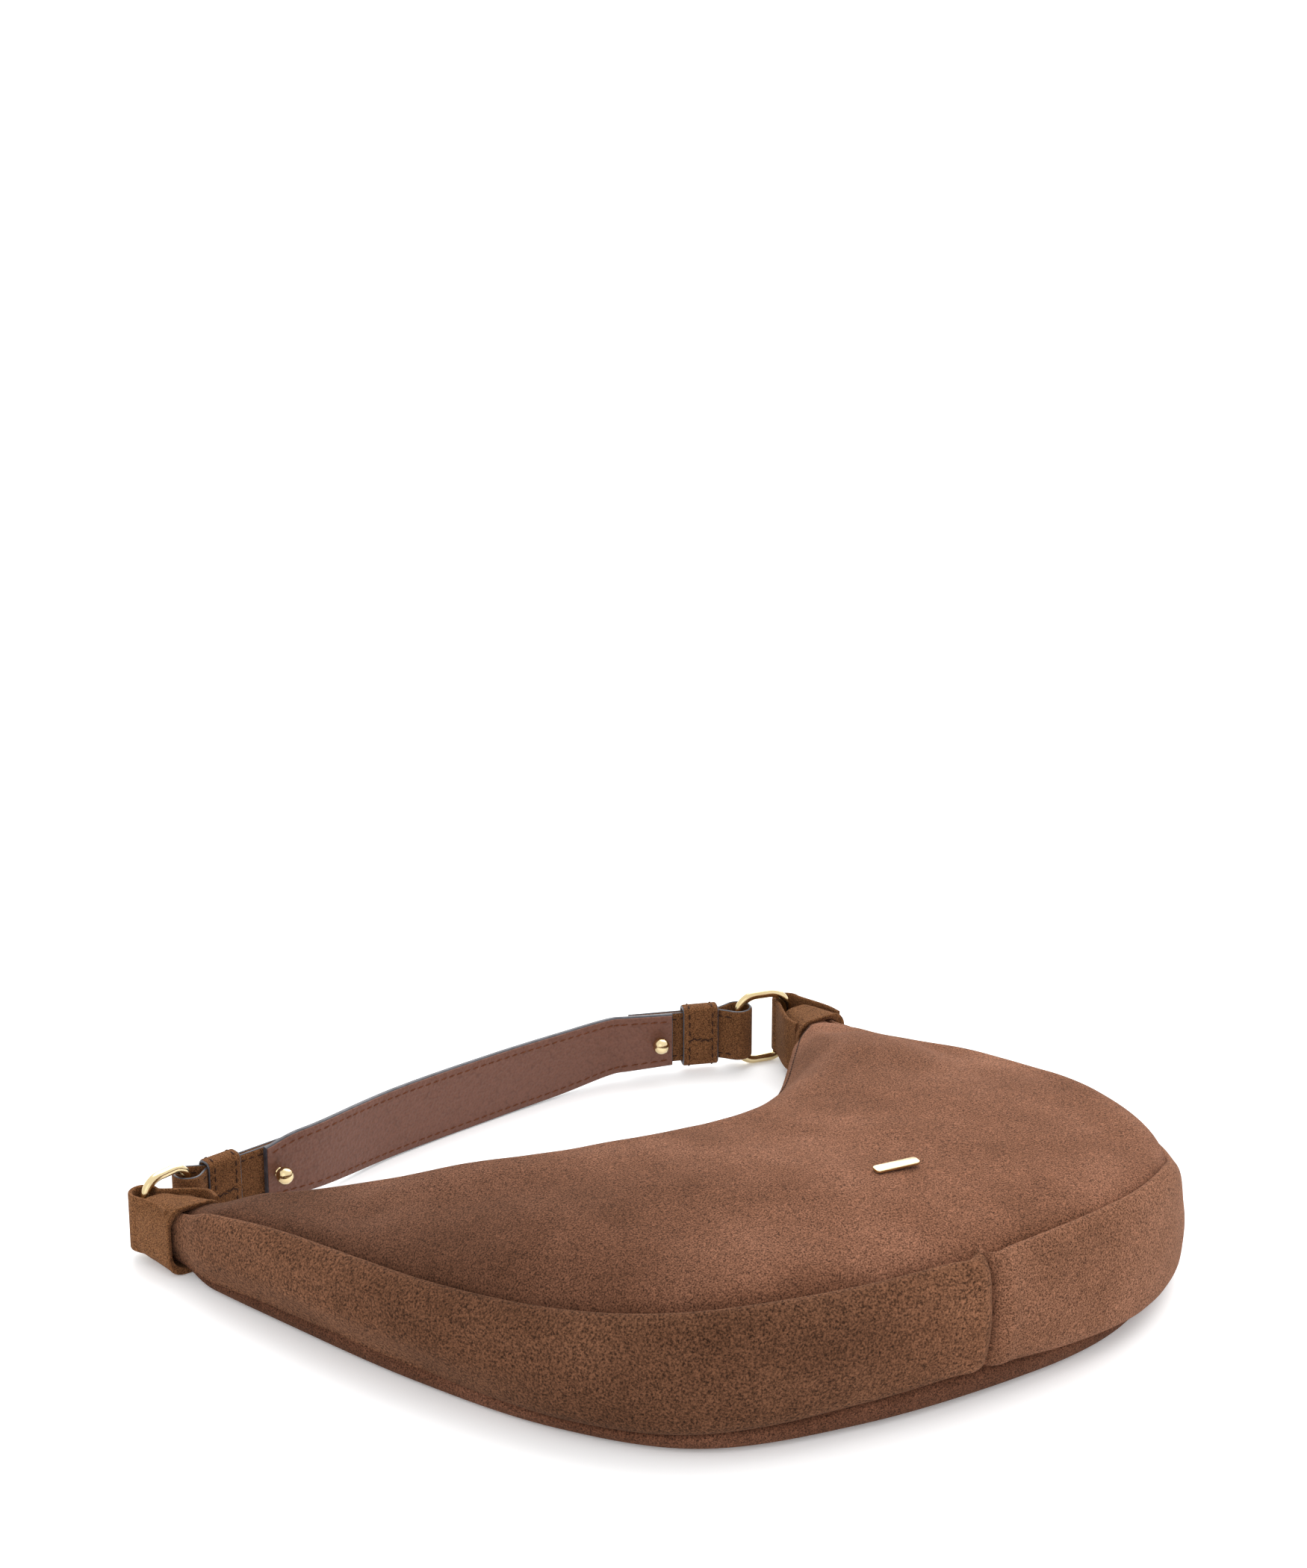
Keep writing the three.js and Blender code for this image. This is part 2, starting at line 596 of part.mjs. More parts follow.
function chape(name, side) {
  const [stud, bar] = side < 0 ? [leftStud, chapeBar(-1)] : [rightStud, chapeBar(1)];
  const along = stud.clone().sub(bar).normalize();
  const across = new THREE.Vector2(-along.y, along.x);
  const length = stud.distanceTo(bar) + (side < 0 ? CHAPE_PAST_STUD.left : CHAPE_PAST_STUD.right);
  const at = (d, off) => bar.clone().addScaledVector(along, d).addScaledVector(across, off);
  const back = along.angle() + Math.PI;
  const fold = circle(bar, CHAPE_BORE + FOLD_WALL, 11, back - FOLD_REACH, back + FOLD_REACH);
  const shape = [
    at(length, CHAPE_HALF), at(FOLD_LONG, CHAPE_HALF), ...fold,
    at(FOLD_LONG, -CHAPE_HALF), at(length, -CHAPE_HALF),
  ];
  const body = prism(shape, CHAPE_LOW, CHAPE_LOW + CHAPE_TALL, [circle(bar, CHAPE_BORE, 16)]);
  place(name, cut(body, studHole(side)), trim('suede_trim'));
}

function stud(name, side) {
  const front = STRAP_SET - LAYER - GAP / 2; // the strap's inner face
  const ball = front - GAP - STUD_BALL;
  const profilePoints = [new THREE.Vector2(0, ball - STUD_BALL)];
  for (let k = 1; k <= 6; k += 1) {
    const turn = -Math.PI / 2 + (k * 2.62) / 6;
    profilePoints.push(new THREE.Vector2(STUD_BALL * Math.cos(turn), ball + STUD_BALL * Math.sin(turn)));
  }
  const seat = CHAPE_HALF + GAP;
  profilePoints.push(
    new THREE.Vector2(STUD_NECK, ball + STUD_BALL), new THREE.Vector2(STUD_NECK, seat),
    new THREE.Vector2(STUD_FOOT, seat), new THREE.Vector2(STUD_FOOT, seat + 0.9),
    new THREE.Vector2(0, seat + 1.3),
  );
  place(name, atStud(side, new THREE.LatheGeometry(profilePoints, 16)), gold('gold'));
}

function keeper(name, side) {
  const [studAt, bar] = side < 0 ? [leftStud, chapeBar(-1)] : [rightStud, chapeBar(1)];
  const along = studAt.clone().sub(bar);
  const centre = bar.clone().add(along.clone().setLength(side < 0 ? KEEPER_AT.left : KEEPER_AT.right));
  const [thick, tall] = [2 * CHAPE_HALF + KEEPER_PLAY, CHAPE_TALL + KEEPER_PLAY];
  const outside = new THREE.BoxGeometry(KEEPER_LONG, thick + 2 * KEEPER_WALL, tall + 2 * KEEPER_WALL);
  const inside = new THREE.BoxGeometry(KEEPER_LONG + 2, thick, tall);
  const mesh = place(name, cut(outside, inside), trim('suede_trim'));
  mesh.position.set(centre.x, centre.y, CHAPE_LOW + CHAPE_TALL / 2);
  mesh.rotation.z = along.angle();
}

// ---- blank name plate on the front -------------------------------------------------------------

const PLATE = { x: 45, y: -198, z: 66.9, long: 18, tall: 4.8, thick: 1, turn: -9 };

function namePlate() {
  const mesh = place('name_plate', new THREE.BoxGeometry(PLATE.long, PLATE.tall, PLATE.thick), gold('gold'));
  mesh.position.set(PLATE.x, PLATE.y, PLATE.z);
  mesh.rotation.z = THREE.MathUtils.degToRad(PLATE.turn);
}

// ---- assembly ------------------------------------------------------------------------------------

bodyPanels();
gussetPiece('gusset_left', 0, CROSS_SEAM - 0.001, 22);
gussetPiece('gusset_right', CROSS_SEAM + 0.001, 1, 22);
linings();
hemsAndTapes();
teethRow('zip_teeth_front', 1, 0);
teethRow('zip_teeth_back', -1, 1);
zipStop('zip_stop_left', 0.06);
zipStop('zip_stop_right', 0.94);
slider();
tab('left_tab', -1);
tab('right_tab', 1);
ring('left_ring', -1);
ring('right_ring', 1);
strap();
chape('left_chape', -1);
chape('right_chape', 1);
stud('left_stud', -1);
stud('right_stud', 1);
keeper('left_keeper', -1);
keeper('right_keeper', 1);
namePlate();

// the origin is under the middle of the whole, on the surface it lies on
const bounds = new THREE.Box3().setFromObject(bag);
const centre = bounds.getCenter(new THREE.Vector3());
bag.position.set(-centre.x, -centre.y, -bounds.min.z);

export default bag;
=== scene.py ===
"""The looks of a slouchy suede hobo bag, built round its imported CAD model.

Shapes are worked out in the bag's own millimetres, the frame of the CAD source: its origin is on the line
through the two tips, +X along it, +Y from the belly to the strap. solid() moves them to the row frame, in
metres.
"""
import json
import math

import bmesh
import bpy
import numpy as np
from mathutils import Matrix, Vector, noise


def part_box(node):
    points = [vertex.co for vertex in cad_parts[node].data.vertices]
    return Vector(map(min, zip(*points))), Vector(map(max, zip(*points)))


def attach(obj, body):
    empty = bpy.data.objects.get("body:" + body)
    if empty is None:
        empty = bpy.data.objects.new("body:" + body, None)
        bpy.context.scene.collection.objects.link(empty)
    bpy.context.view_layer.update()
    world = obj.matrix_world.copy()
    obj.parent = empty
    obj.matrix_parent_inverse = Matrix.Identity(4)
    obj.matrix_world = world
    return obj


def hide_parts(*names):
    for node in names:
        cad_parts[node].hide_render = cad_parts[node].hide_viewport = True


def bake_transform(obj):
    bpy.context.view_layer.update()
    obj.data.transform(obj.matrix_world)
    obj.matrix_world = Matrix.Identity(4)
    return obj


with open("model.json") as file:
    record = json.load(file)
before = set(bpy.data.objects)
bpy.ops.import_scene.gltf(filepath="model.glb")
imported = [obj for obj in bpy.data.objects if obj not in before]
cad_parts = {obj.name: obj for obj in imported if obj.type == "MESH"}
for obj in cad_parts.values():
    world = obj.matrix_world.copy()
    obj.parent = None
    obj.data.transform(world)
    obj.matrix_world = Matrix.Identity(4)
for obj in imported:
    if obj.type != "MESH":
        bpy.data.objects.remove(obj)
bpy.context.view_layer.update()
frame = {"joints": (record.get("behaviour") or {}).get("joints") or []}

MM = 0.001
UP = np.array([0.0, 0.0, 1.0])
JOINTS = {j["name"]: j for j in frame["joints"]}

# ---- driving dimensions, in the bag's millimetres ----

MOUTH_R = 135
MOUTH_C = np.array([2.0, 35.0])
MOUTH_HALF = math.radians(45)
OFFSET = np.array([*(np.array(JOINTS["zip_slide"]["pos_m"][:2]) / MM - MOUTH_C), 0.0])

OUTLINE = [
    [-153, -10.6], [-148, -38], [-139, -75], [-122, -135], [-98, -190], [-65, -230], [-10, -249],
    [57, -256], [117, -250], [157, -223], [175, -180], [169, -130], [158, -78], [156, -38], [161, -10.6],
]
TIP_IN = {-1: (-134, -10.6), 1: (144, -10.6)}
# heights along the bag, from the left tip (0) to the right one (1)
SEAM_TOP = [[0, 28], [0.07, 36], [0.14, 39.5], [0.2, 41.5], [0.28, 46.5], [0.36, 53], [0.45, 53.5],
            [0.58, 57], [0.64, 55], [0.7, 49], [0.79, 44], [0.87, 39], [0.95, 31], [1, 28]]
SEAM_LOW = [[0, 4], [0.07, 8], [0.15, 8.5], [0.3, 8], [0.38, 10.5], [0.44, 12.5], [0.5, 13.5], [0.56, 10.5],
            [0.62, 8.5], [0.68, 6.5], [0.78, 8], [0.9, 6], [1, 4]]
CROWN = [[0, 28], [0.1, 37], [0.2, 49.5], [0.3, 59], [0.42, 62.5], [0.52, 60], [0.62, 56], [0.7, 54],
         [0.78, 51], [0.85, 45], [0.92, 35], [1, 28]]
PUFF = [[0, 0], [0.15, 2], [0.35, 5], [0.6, 5], [0.7, 5], [0.8, 3], [0.92, 0.5], [1, 0]]
MOUTH_TOP = [[0, 27], [0.2, 33], [0.5, 36], [0.8, 30], [1, 27]]
CROWN_AT = 0.82
CROSS_SEAM = 0.5
CROSS_BOW = 0.006
SUEDE = 2.2
ZIP_Z = 17

TAB_MOUTH_Y = -10
TAB_TOP = 29.6
RING_WIRE = 1.85
RING_WIDE = 22.3
RING_TALL = 29.3
RING_CORNER = 8
RING_Z = 16.6
RING_ANGLE = math.radians(14)

CHAPE_LOW = 5
CHAPE_TALL = 22.5
STRAP_SET = -3.5
STRAP_WIDE = [[0, 23], [0.08, 27], [0.3, 29], [0.7, 28], [0.92, 24.5], [1, 23]]
STRAP_LOW = [[0, 5], [0.12, 3.2], [0.3, 0.7], [0.7, 0.7], [0.9, 3.6], [1, 5]]
LAYER = 1.3
STUD = {-1: np.array([-93, 18.5]), 1: np.array([100, 32])}
STRAP_PAST_STUD = 5
CHAPE_PAST_STUD = {-1: 9, 1: 12}
KEEPER_AT = {-1: 15, 1: 16.5}
KEEPER_LONG = 15
STUD_BALL = 3.5
SIDES = {-1: "left", 1: "right"}


def plan_of(joint):
    """Where a joint's upright axis stands, in the bag's millimetres."""
    return np.array(JOINTS[joint]["pos_m"][:2]) / MM - OFFSET[:2]


TAB_BAR = {-1: plan_of("left_ring_turn"), 1: plan_of("right_ring_turn")}
CHAPE_BAR = {
    side: TAB_BAR[side] + RING_WIDE * np.array([-side * math.cos(RING_ANGLE), math.sin(RING_ANGLE)])
    for side in SIDES
}

# ---- curves ----


def smooth_through(points, steps=60):
    """A dense polyline on the centripetal Catmull-Rom curve through the points."""
    p = np.array(points, float)
    p = np.vstack([2 * p[0] - p[1], p, 2 * p[-1] - p[-2]])
    out = []
    t = np.linspace(0, 1, steps, endpoint=False)[:, None]
    for a, b, c, d in zip(p, p[1:], p[2:], p[3:]):
        d0, d1, d2 = (math.sqrt(np.linalg.norm(q - r)) for q, r in ((b, a), (c, b), (d, c)))
        t1 = d1 * ((b - a) / d0 - (c - a) / (d0 + d1) + (c - b) / d1)
        t2 = d1 * ((c - b) / d1 - (d - b) / (d1 + d2) + (d - c) / d2)
        out.append(b + t * t1 + t ** 2 * (3 * (c - b) - 2 * t1 - t2) + t ** 3 * (2 * (b - c) + t1 + t2))
    return np.vstack([*out, p[-2]])


class Line:
    """A polyline read by the share of its length, and straight on past its ends."""

    def __init__(self, points):
        self.p = np.array(points, float)
        steps = np.linalg.norm(np.diff(self.p, axis=0), axis=1)
        self.d = np.concatenate([[0], np.cumsum(steps)])
        self.length = self.d[-1]

    def at(self, share):
        d = np.asarray(share, float) * self.length
        inside = np.clip(d, 0, self.length)
        point = np.stack([np.interp(inside, self.d, c) for c in self.p.T], -1)
        first = (self.p[1] - self.p[0]) / self.d[1]
        last = (self.p[-1] - self.p[-2]) / (self.d[-1] - self.d[-2])
        return point + np.minimum(d, 0)[..., None] * first + np.maximum(d - self.length, 0)[..., None] * last

    def along(self, share, reach=0.004):
        step = self.at(np.asarray(share) + reach) - self.at(np.asarray(share) - reach)
        return step / np.linalg.norm(step, axis=-1, keepdims=True)

    def out(self, share, reach=0.004):
        """The direction square to the line in plan, on its right hand."""
        a = self.along(share, reach)
        return np.stack([a[..., 1], -a[..., 0]], -1)


def profile(pairs):
    """A smooth value along a share from 0 to 1, through [share, value] pairs: a cubic between each two."""
    at, value = np.array(pairs, float).T
    before, after = np.maximum(np.arange(len(at)) - 1, 0), np.minimum(np.arange(len(at)) + 1, len(at) - 1)
    slope = (value[after] - value[before]) / (at[after] - at[before])

    def read(share):
        inside = np.clip(share, at[0], at[-1])
        k = np.clip(np.searchsorted(at, inside), 1, len(at) - 1)
        span = at[k] - at[k - 1]
        t = (inside - at[k - 1]) / span
        rise = t * t * (3 - 2 * t)
        return (value[k - 1] + (value[k] - value[k - 1]) * rise
                + span * t * (1 - t) * (slope[k - 1] * (1 - t) - slope[k] * t))
    return read


def smoothstep(low, high, value):
    t = np.clip((value - low) / (high - low), 0, 1)
    return t * t * (3 - 2 * t)


def bell(value, centre, width):
    return np.exp(-(((value - centre) / width) ** 2))


def mouth_line():
    """The arc of the mouth and its straight ends, the two joined softly."""
    turn = -math.pi / 2 + np.linspace(-MOUTH_HALF, MOUTH_HALF, 181)
    arc = MOUTH_C + MOUTH_R * np.stack([np.cos(turn), np.sin(turn)], -1)
    sharp = Line([TIP_IN[-1], *arc, TIP_IN[1]])
    share = np.linspace(-0.05, 1.05, 551)
    points = sharp.at(share)
    reach = np.exp(-((np.arange(-25, 26) / 11) ** 2))
    soft = np.stack([np.convolve(c, reach / reach.sum(), "same") for c in points.T], -1)
    return Line(soft[(share > -0.001) & (share < 1.001)])


EDGE = Line(smooth_through(OUTLINE))
MOUTH = mouth_line()
seam_top, seam_low, crown = profile(SEAM_TOP), profile(SEAM_LOW), profile(CROWN)
puff, mouth_top = profile(PUFF), profile(MOUTH_TOP)
strap_wide, strap_low = profile(STRAP_WIDE), profile(STRAP_LOW)

# ---- meshes ----


def grid_faces(nu, nv, wrap_u=False, wrap_v=False, start=0):
    """Quads of a grid of nu by nv points, u the slow index."""
    i = np.arange(nu if wrap_u else nu - 1)
    j = np.arange(nv if wrap_v else nv - 1)
    i, j = (k.ravel() for k in np.meshgrid(i, j, indexing="ij"))
    i2, j2 = (i + 1) % nu, (j + 1) % nv
    return start + np.stack([i * nv + j, i2 * nv + j, i2 * nv + j2, i * nv + j2], -1)


def solid(name, points, faces, look, sharp_deg=50):
    """A mesh object from points in the bag's millimetres, its faces turned out."""
    mesh = bpy.data.meshes.new(name)
    places = (np.asarray(points, float) + OFFSET) * MM
    mesh.from_pydata(places.tolist(), [], [list(map(int, f)) for f in faces])
    mesh.validate()
    shell = bmesh.new()
    shell.from_mesh(mesh)
    bmesh.ops.recalc_face_normals(shell, faces=shell.faces)
    shell.to_mesh(mesh)
    shell.free()
    mesh.shade_smooth()
    mesh.set_sharp_from_angle(angle=math.radians(sharp_deg))
    mesh.materials.append(look)
    piece = bpy.data.objects.new(name, mesh)
    bpy.context.scene.collection.objects.link(piece)
    return piece


def grid_normals(points):
    du = np.gradient(points, axis=0)
    dv = np.gradient(points, axis=1)
    n = np.cross(du, dv)
    return n / np.maximum(np.linalg.norm(n, axis=-1, keepdims=True), 1e-9)


def slab(name, face, thick, look, sharp_deg=50):
    """A closed sheet: a grid of points and the same grid set back by its thickness."""
    nu, nv = face.shape[:2]
    back = face - grid_normals(face) * thick
    points = np.vstack([face.reshape(-1, 3), back.reshape(-1, 3)])
    points[:, 2] = np.maximum(points[:, 2], 0)  # no sheet goes below the ground
    n = nu * nv
    rim = np.concatenate([
        np.arange(nv - 1), (np.arange(nu - 1) * nv + nv - 1),
        (nu - 1) * nv + np.arange(nv - 1, 0, -1), np.arange(nu - 1, 0, -1) * nv,
    ])
    turned = np.roll(rim, -1)
    faces = [*grid_faces(nu, nv), *grid_faces(nu, nv, start=n)[:, ::-1]]
    faces += list(np.stack([rim, rim + n, turned + n, turned], -1))
    return solid(name, points, faces, look, sharp_deg)


def tube_faces(n, m, start=0):
    """Faces of a tube of n rings of m points with flat ends."""
    end = start + (n - 1) * m
    ends = [list(range(start, start + m))[::-1], list(range(end, end + m))]
    return [*grid_faces(n, m, wrap_v=True, start=start), *ends]


def pointed_faces(n, m):
    """Faces of a tube of n rings of m points, closed by one point at each end; these two come last."""
    last = (n - 1) * m
    faces = list(grid_faces(n, m, wrap_v=True))
    for j in range(m):
        faces += [[j, (j + 1) % m, n * m], [last + (j + 1) % m, last + j, n * m + 1]]
    return faces


def sweep(name, centres, across, up, sections, look, closed=False, sharp_deg=50):
    """A closed body: section loops (a, b) set at each centre along its across and up directions."""
    sections = np.broadcast_to(sections, (len(centres), *np.shape(sections)[-2:]))
    points = (centres[:, None] + sections[..., :1] * across[:, None] + sections[..., 1:] * up[:, None])
    n, m = points.shape[:2]
    faces = list(grid_faces(n, m, wrap_u=True, wrap_v=True)) if closed else tube_faces(n, m)
    return solid(name, points.reshape(-1, 3), faces, look, sharp_deg)


def rounded(wide, tall, radius, arc=4, rows=1):
    """The corners of a rounded rectangle round the origin, its long upright sides cut in rows."""
    out = []
    for sx, sy, first in ((1, 1, 0), (-1, 1, 90), (-1, -1, 180), (1, -1, 270)):
        turn = np.radians(first + np.linspace(0, 90, arc + 1))
        centre = np.array([sx * (wide / 2 - radius), sy * (tall / 2 - radius)])
        out.append(centre + radius * np.stack([np.cos(turn), np.sin(turn)], -1))
        if first in (90, 270) and rows > 1:
            side = np.linspace(1, -1, rows + 1)[1:-1] * sy * (tall / 2 - radius)
            out.append(np.stack([np.full(rows - 1, sx * wide / 2), side], -1))
    return np.vstack(out)


def stretched(section, radius, tall):
    """Rounded sections 10 tall, drawn out to each given height with their corners kept."""
    share = np.clip(section[:, 1] / (5 - radius), -1, 1)
    over = section[:, 1] - share * (5 - radius)
    heights = share * (np.asarray(tall)[:, None] / 2 - radius) + over
    return np.stack([np.broadcast_to(section[:, 0], heights.shape), heights], -1)


def ball(radius, n=10, rings=7):
    """Points and faces of a round bead."""
    tilt = np.linspace(0, math.pi, rings + 2)[1:-1]
    turn = np.linspace(0, 2 * math.pi, n, endpoint=False)
    shell = np.array([
        [math.sin(t) * math.cos(a), math.sin(t) * math.sin(a), math.cos(t)]
        for t in tilt for a in turn
    ])
    return np.vstack([shell, [[0, 0, 1], [0, 0, -1]]]) * radius, pointed_faces(rings, n)


THREAD_FLAT = 0.8  # a stitch's height as a share of its width


def stitches(name, rows, long, thick, look):
    """Rows of thread stitches as one piece. A row is (points, directions, normals)."""
    bead, faces = ball(1, 8, 3)
    all_points, all_faces = [], []
    for centres, along, normal in rows:
        side = np.cross(normal, along)
        for c, a, n, s in zip(centres, along, normal, side):
            start = len(all_points) * len(bead)
            across, lift = bead[:, :1] * s * thick, bead[:, 2:] * n * thick * THREAD_FLAT
            all_points.append(c + across + bead[:, 1:2] * a * long / 2 + lift)
            all_faces += [[k + start for k in f] for f in faces]
    return solid(name, np.vstack(all_points), all_faces, look, 80)


def spaced(line, low, high, pitch):
    """Shares of a line between two shares of it, a pitch apart."""
    count = max(2, round((high - low) * line.length / pitch))
    return low + (np.arange(count) + 0.5) / count * (high - low)


def upward(count):
    return np.broadcast_to(UP, (count, 3))


def deep(points, height):
    """Plan points with a height."""
    return np.concatenate([points, np.broadcast_to(height, points.shape[:-1])[..., None]], -1)


def rumple(points, size, seed):
    """Smooth noise from -1 to 1 at each point, with bumps about a size apart."""
    flat = points.reshape(-1, 3) / size + np.array([seed * 7.3, seed * 3.1, seed])
    return np.array([noise.noise(Vector(p)) for p in flat]).reshape(points.shape[:-1])


# ---- materials ----


NOISE = "ShaderNodeTexNoise"


def set_inputs(node, values):
    for key, value in values.items():
        node.inputs[key].default_value = value


def new_look(name, roughness, metallic=0.0, sheen=0.0, sheen_tint=(1, 1, 1), specular=0.5):
    look = bpy.data.materials.new(name)
    look.use_nodes = True
    shader = look.node_tree.nodes["Principled BSDF"]
    set_inputs(shader, {
        "Roughness": roughness, "Metallic": metallic, "Sheen Weight": sheen, "Sheen Roughness": 0.45,
        "Sheen Tint": (*sheen_tint, 1), "Specular IOR Level": specular,
    })
    return look, look.node_tree, shader


def texture(tree, kind, scale, at=(0, 0, 0), stretch=(1, 1, 1), **inputs):
    """A texture node in the object's own coordinates; scale counts its cells in a metre."""
    coords = tree.nodes.new("ShaderNodeTexCoord")
    place = tree.nodes.new("ShaderNodeMapping")
    set_inputs(place, {"Location": at, "Scale": stretch})
    tree.links.new(coords.outputs["Object"], place.inputs["Vector"])
    node = tree.nodes.new(kind)
    tree.links.new(place.outputs["Vector"], node.inputs["Vector"])
    set_inputs(node, {"Scale": scale, **{key.title(): value for key, value in inputs.items()}})
    return node.outputs[0]


def ramp(tree, value, stops):
    """Colours by value: stops are (place, colour)."""
    node = tree.nodes.new("ShaderNodeValToRGB")
    tree.links.new(value, node.inputs["Fac"])
    elements = node.color_ramp.elements
    while len(elements) < len(stops):
        elements.new(0.5)
    for element, (place, colour) in zip(elements, stops):
        element.position = place
        element.color = (*colour, 1)
    return node.outputs["Color"]


def mixed(tree, factor, a, b, mode="MIX"):
    node = tree.nodes.new("ShaderNodeMix")
    node.data_type = "RGBA"
    node.blend_type = mode
    for socket, value in ((node.inputs["Factor"], factor), (node.inputs["A"], a), (node.inputs["B"], b)):
        if isinstance(value, bpy.types.NodeSocket):
            tree.links.new(value, socket)
        else:
            socket.default_value = value if isinstance(value, float) else (*value, 1)
    return node.outputs["Result"]


def grey(value):
    return (value, value, value)


def dressed(tree, shader, colour, heights):
    """Links a colour and chained bumps to the shader: heights are (socket, strength, distance in metres)."""
    tree.links.new(colour, shader.inputs["Base Color"])
    below = None
    for height, strength, distance in heights:
        node = tree.nodes.new("ShaderNodeBump")
        set_inputs(node, {"Strength": strength, "Distance": distance})
        tree.links.new(height, node.inputs["Height"])
        if below:
            tree.links.new(below, node.inputs["Normal"])
        below = node.outputs["Normal"]
    tree.links.new(below, shader.inputs["Normal"])


def suede_look(name, deep_tone, mid_tone, light_tone, nap=1.0, seed=0.0, tones=None):
    """Suede: soft patches where the nap lies one way or the other, and its fine speckled pile."""
    look, tree, shader = new_look(
        name, roughness=0.95, sheen=0.06, sheen_tint=(1.0, 0.7, 0.52), specular=0.06)
    patches = texture(tree, NOISE, 17, at=(seed, 0.3, 0), stretch=(1, 0.8, 1.4), detail=5.0, roughness=0.58)
    colour = ramp(tree, patches, [(0.3, deep_tone), (0.5, mid_tone), (0.72, light_tone)])
    flecks = texture(tree, NOISE, 420 / nap, at=(0, seed, 1), detail=4.0, roughness=0.7)
    colour = mixed(tree, 0.35, colour, ramp(tree, flecks, [(0.3, grey(0.35)), (0.7, grey(0.67))]), "OVERLAY")
    pile = texture(tree, NOISE, 1600 / nap, detail=3.0, roughness=0.75)
    colour = mixed(tree, 1.0, colour, ramp(tree, pile, [(0.36, grey(0.1)), (0.64, grey(0.88))]), "OVERLAY")
    # tones multiply painted light and shade into the colour: a slow change of tone along the bag
    if tones:
        colour = mixed(tree, 1.0, colour, painted_shade_ramp(tree, tones), "MULTIPLY")
    dressed(tree, shader, colour, [(flecks, 0.3, 0.0007), (pile, 0.8, 0.0005)])
    return look


def painted_shade_ramp(tree, tones):
    """Painted light and shade: a slow change of tone along the bag, darker where less light falls, as (x in
    metres, tone) pairs.
    """
    low, high = tones[0][0], tones[-1][0]
    coords = tree.nodes.new("ShaderNodeTexCoord")
    split = tree.nodes.new("ShaderNodeSeparateXYZ")
    tree.links.new(coords.outputs["Object"], split.inputs["Vector"])
    along = tree.nodes.new("ShaderNodeMapRange")
    set_inputs(along, {"From Min": low, "From Max": high})
    tree.links.new(split.outputs["X"], along.inputs["Value"])
    return ramp(tree, along.outputs["Result"], [((x - low) / (high - low), grey(tone)) for x, tone in tones])


def hide_look():
    """The strap's lining: smooth hide with a small pebbled grain."""
    look, tree, shader = new_look("lining_hide", roughness=0.55, specular=0.3)
    cells = texture(tree, "ShaderNodeTexVoronoi", 620, randomness=1.0)
    grain = texture(tree, NOISE, 420, detail=3.0, roughness=0.6)
    tones = [(0.0, (0.130, 0.054, 0.035)), (0.55, (0.168, 0.071, 0.047)), (1.0, (0.118, 0.048, 0.031))]
    colour = ramp(tree, cells, tones)
    colour = mixed(tree, 0.4, colour, ramp(tree, grain, [(0.3, grey(0.4)), (0.7, grey(0.6))]), "OVERLAY")
    dressed(tree, shader, colour, [(cells, 0.6, 0.0006), (grain, 0.4, 0.0004)])
    return look


def paint_look():
    """Edge paint: a dark slate lacquer, slightly uneven."""
    look, tree, shader = new_look("edge_paint", roughness=0.38, specular=0.5)
    runs = texture(tree, NOISE, 260, detail=3.0, roughness=0.6)
    colour = ramp(tree, runs, [(0.3, (0.028, 0.027, 0.034)), (0.7, (0.075, 0.074, 0.088))])
    dressed(tree, shader, colour, [(runs, 0.4, 0.0003)])
    return look


def gold_look():
    """Polished pale gold with faint handling marks."""
    look, tree, shader = new_look("pale_gold", roughness=0.16, metallic=1.0)
    marks = texture(tree, NOISE, 900, stretch=(1, 1, 6), detail=4.0, roughness=0.6)
    soft = texture(tree, NOISE, 60, detail=2.0)
    colour = ramp(tree, soft, [(0.3, (0.66, 0.51, 0.27)), (0.7, (0.80, 0.66, 0.40))])
    tree.links.new(ramp(tree, marks, [(0.35, grey(0.12)), (0.7, grey(0.26))]), shader.inputs["Roughness"])
    dressed(tree, shader, colour, [(marks, 0.05, 0.0001)])
    return look


def thread_look(name, dark, light):
    look, tree, shader = new_look(name, roughness=0.75, specular=0.15)
    twist = texture(tree, NOISE, 1800, detail=2.0)
    dressed(tree, shader, ramp(tree, twist, [(0.3, dark), (0.7, light)]), [(twist, 0.5, 0.0002)])
    return look


def woven_look(name, dark, light, pitch):
    """A plain weave: two sets of bands across each other."""
    look, tree, shader = new_look(name, roughness=0.85, sheen=0.1)
    waves = [texture(tree, "ShaderNodeTexWave", 1 / pitch, stretch=s, distortion=0.6, detail=1.0)
             for s in ((1, 0, 0.35), (0, 1, 0.35), (0, 0, 1))]
    weave = mixed(tree, 0.5, mixed(tree, 0.5, waves[0], waves[1]), waves[2])
    dressed(tree, shader, ramp(tree, weave, [(0.25, dark), (0.75, light)]), [(weave, 0.6, 0.0003)])
    return look


# the tones of body_suede and side_suede are painted light and shade: darker at the front's left end and the
# gusset's middle, where less light falls
BODY_SUEDE = suede_look("body_suede", (0.138, 0.058, 0.031), (0.196, 0.085, 0.048), (0.268, 0.122, 0.073),
                        tones=[(-0.13, 0.48), (-0.05, 0.72), (0.03, 0.86), (0.15, 0.89)])
SIDE_SUEDE = suede_look("side_suede", (0.096, 0.041, 0.021), (0.130, 0.057, 0.030), (0.172, 0.078, 0.042),
                        nap=1.4, seed=3, tones=[(-0.16, 0.98), (-0.10, 0.70), (-0.03, 0.74), (0.02, 1.06)])
RIGHT_SUEDE = suede_look("right_suede", (0.140, 0.062, 0.034), (0.190, 0.086, 0.049), (0.240, 0.112, 0.067),
                         seed=5)
BACK_SUEDE = suede_look("back_suede", (0.072, 0.028, 0.015), (0.105, 0.043, 0.024), (0.140, 0.060, 0.035),
                        seed=6)
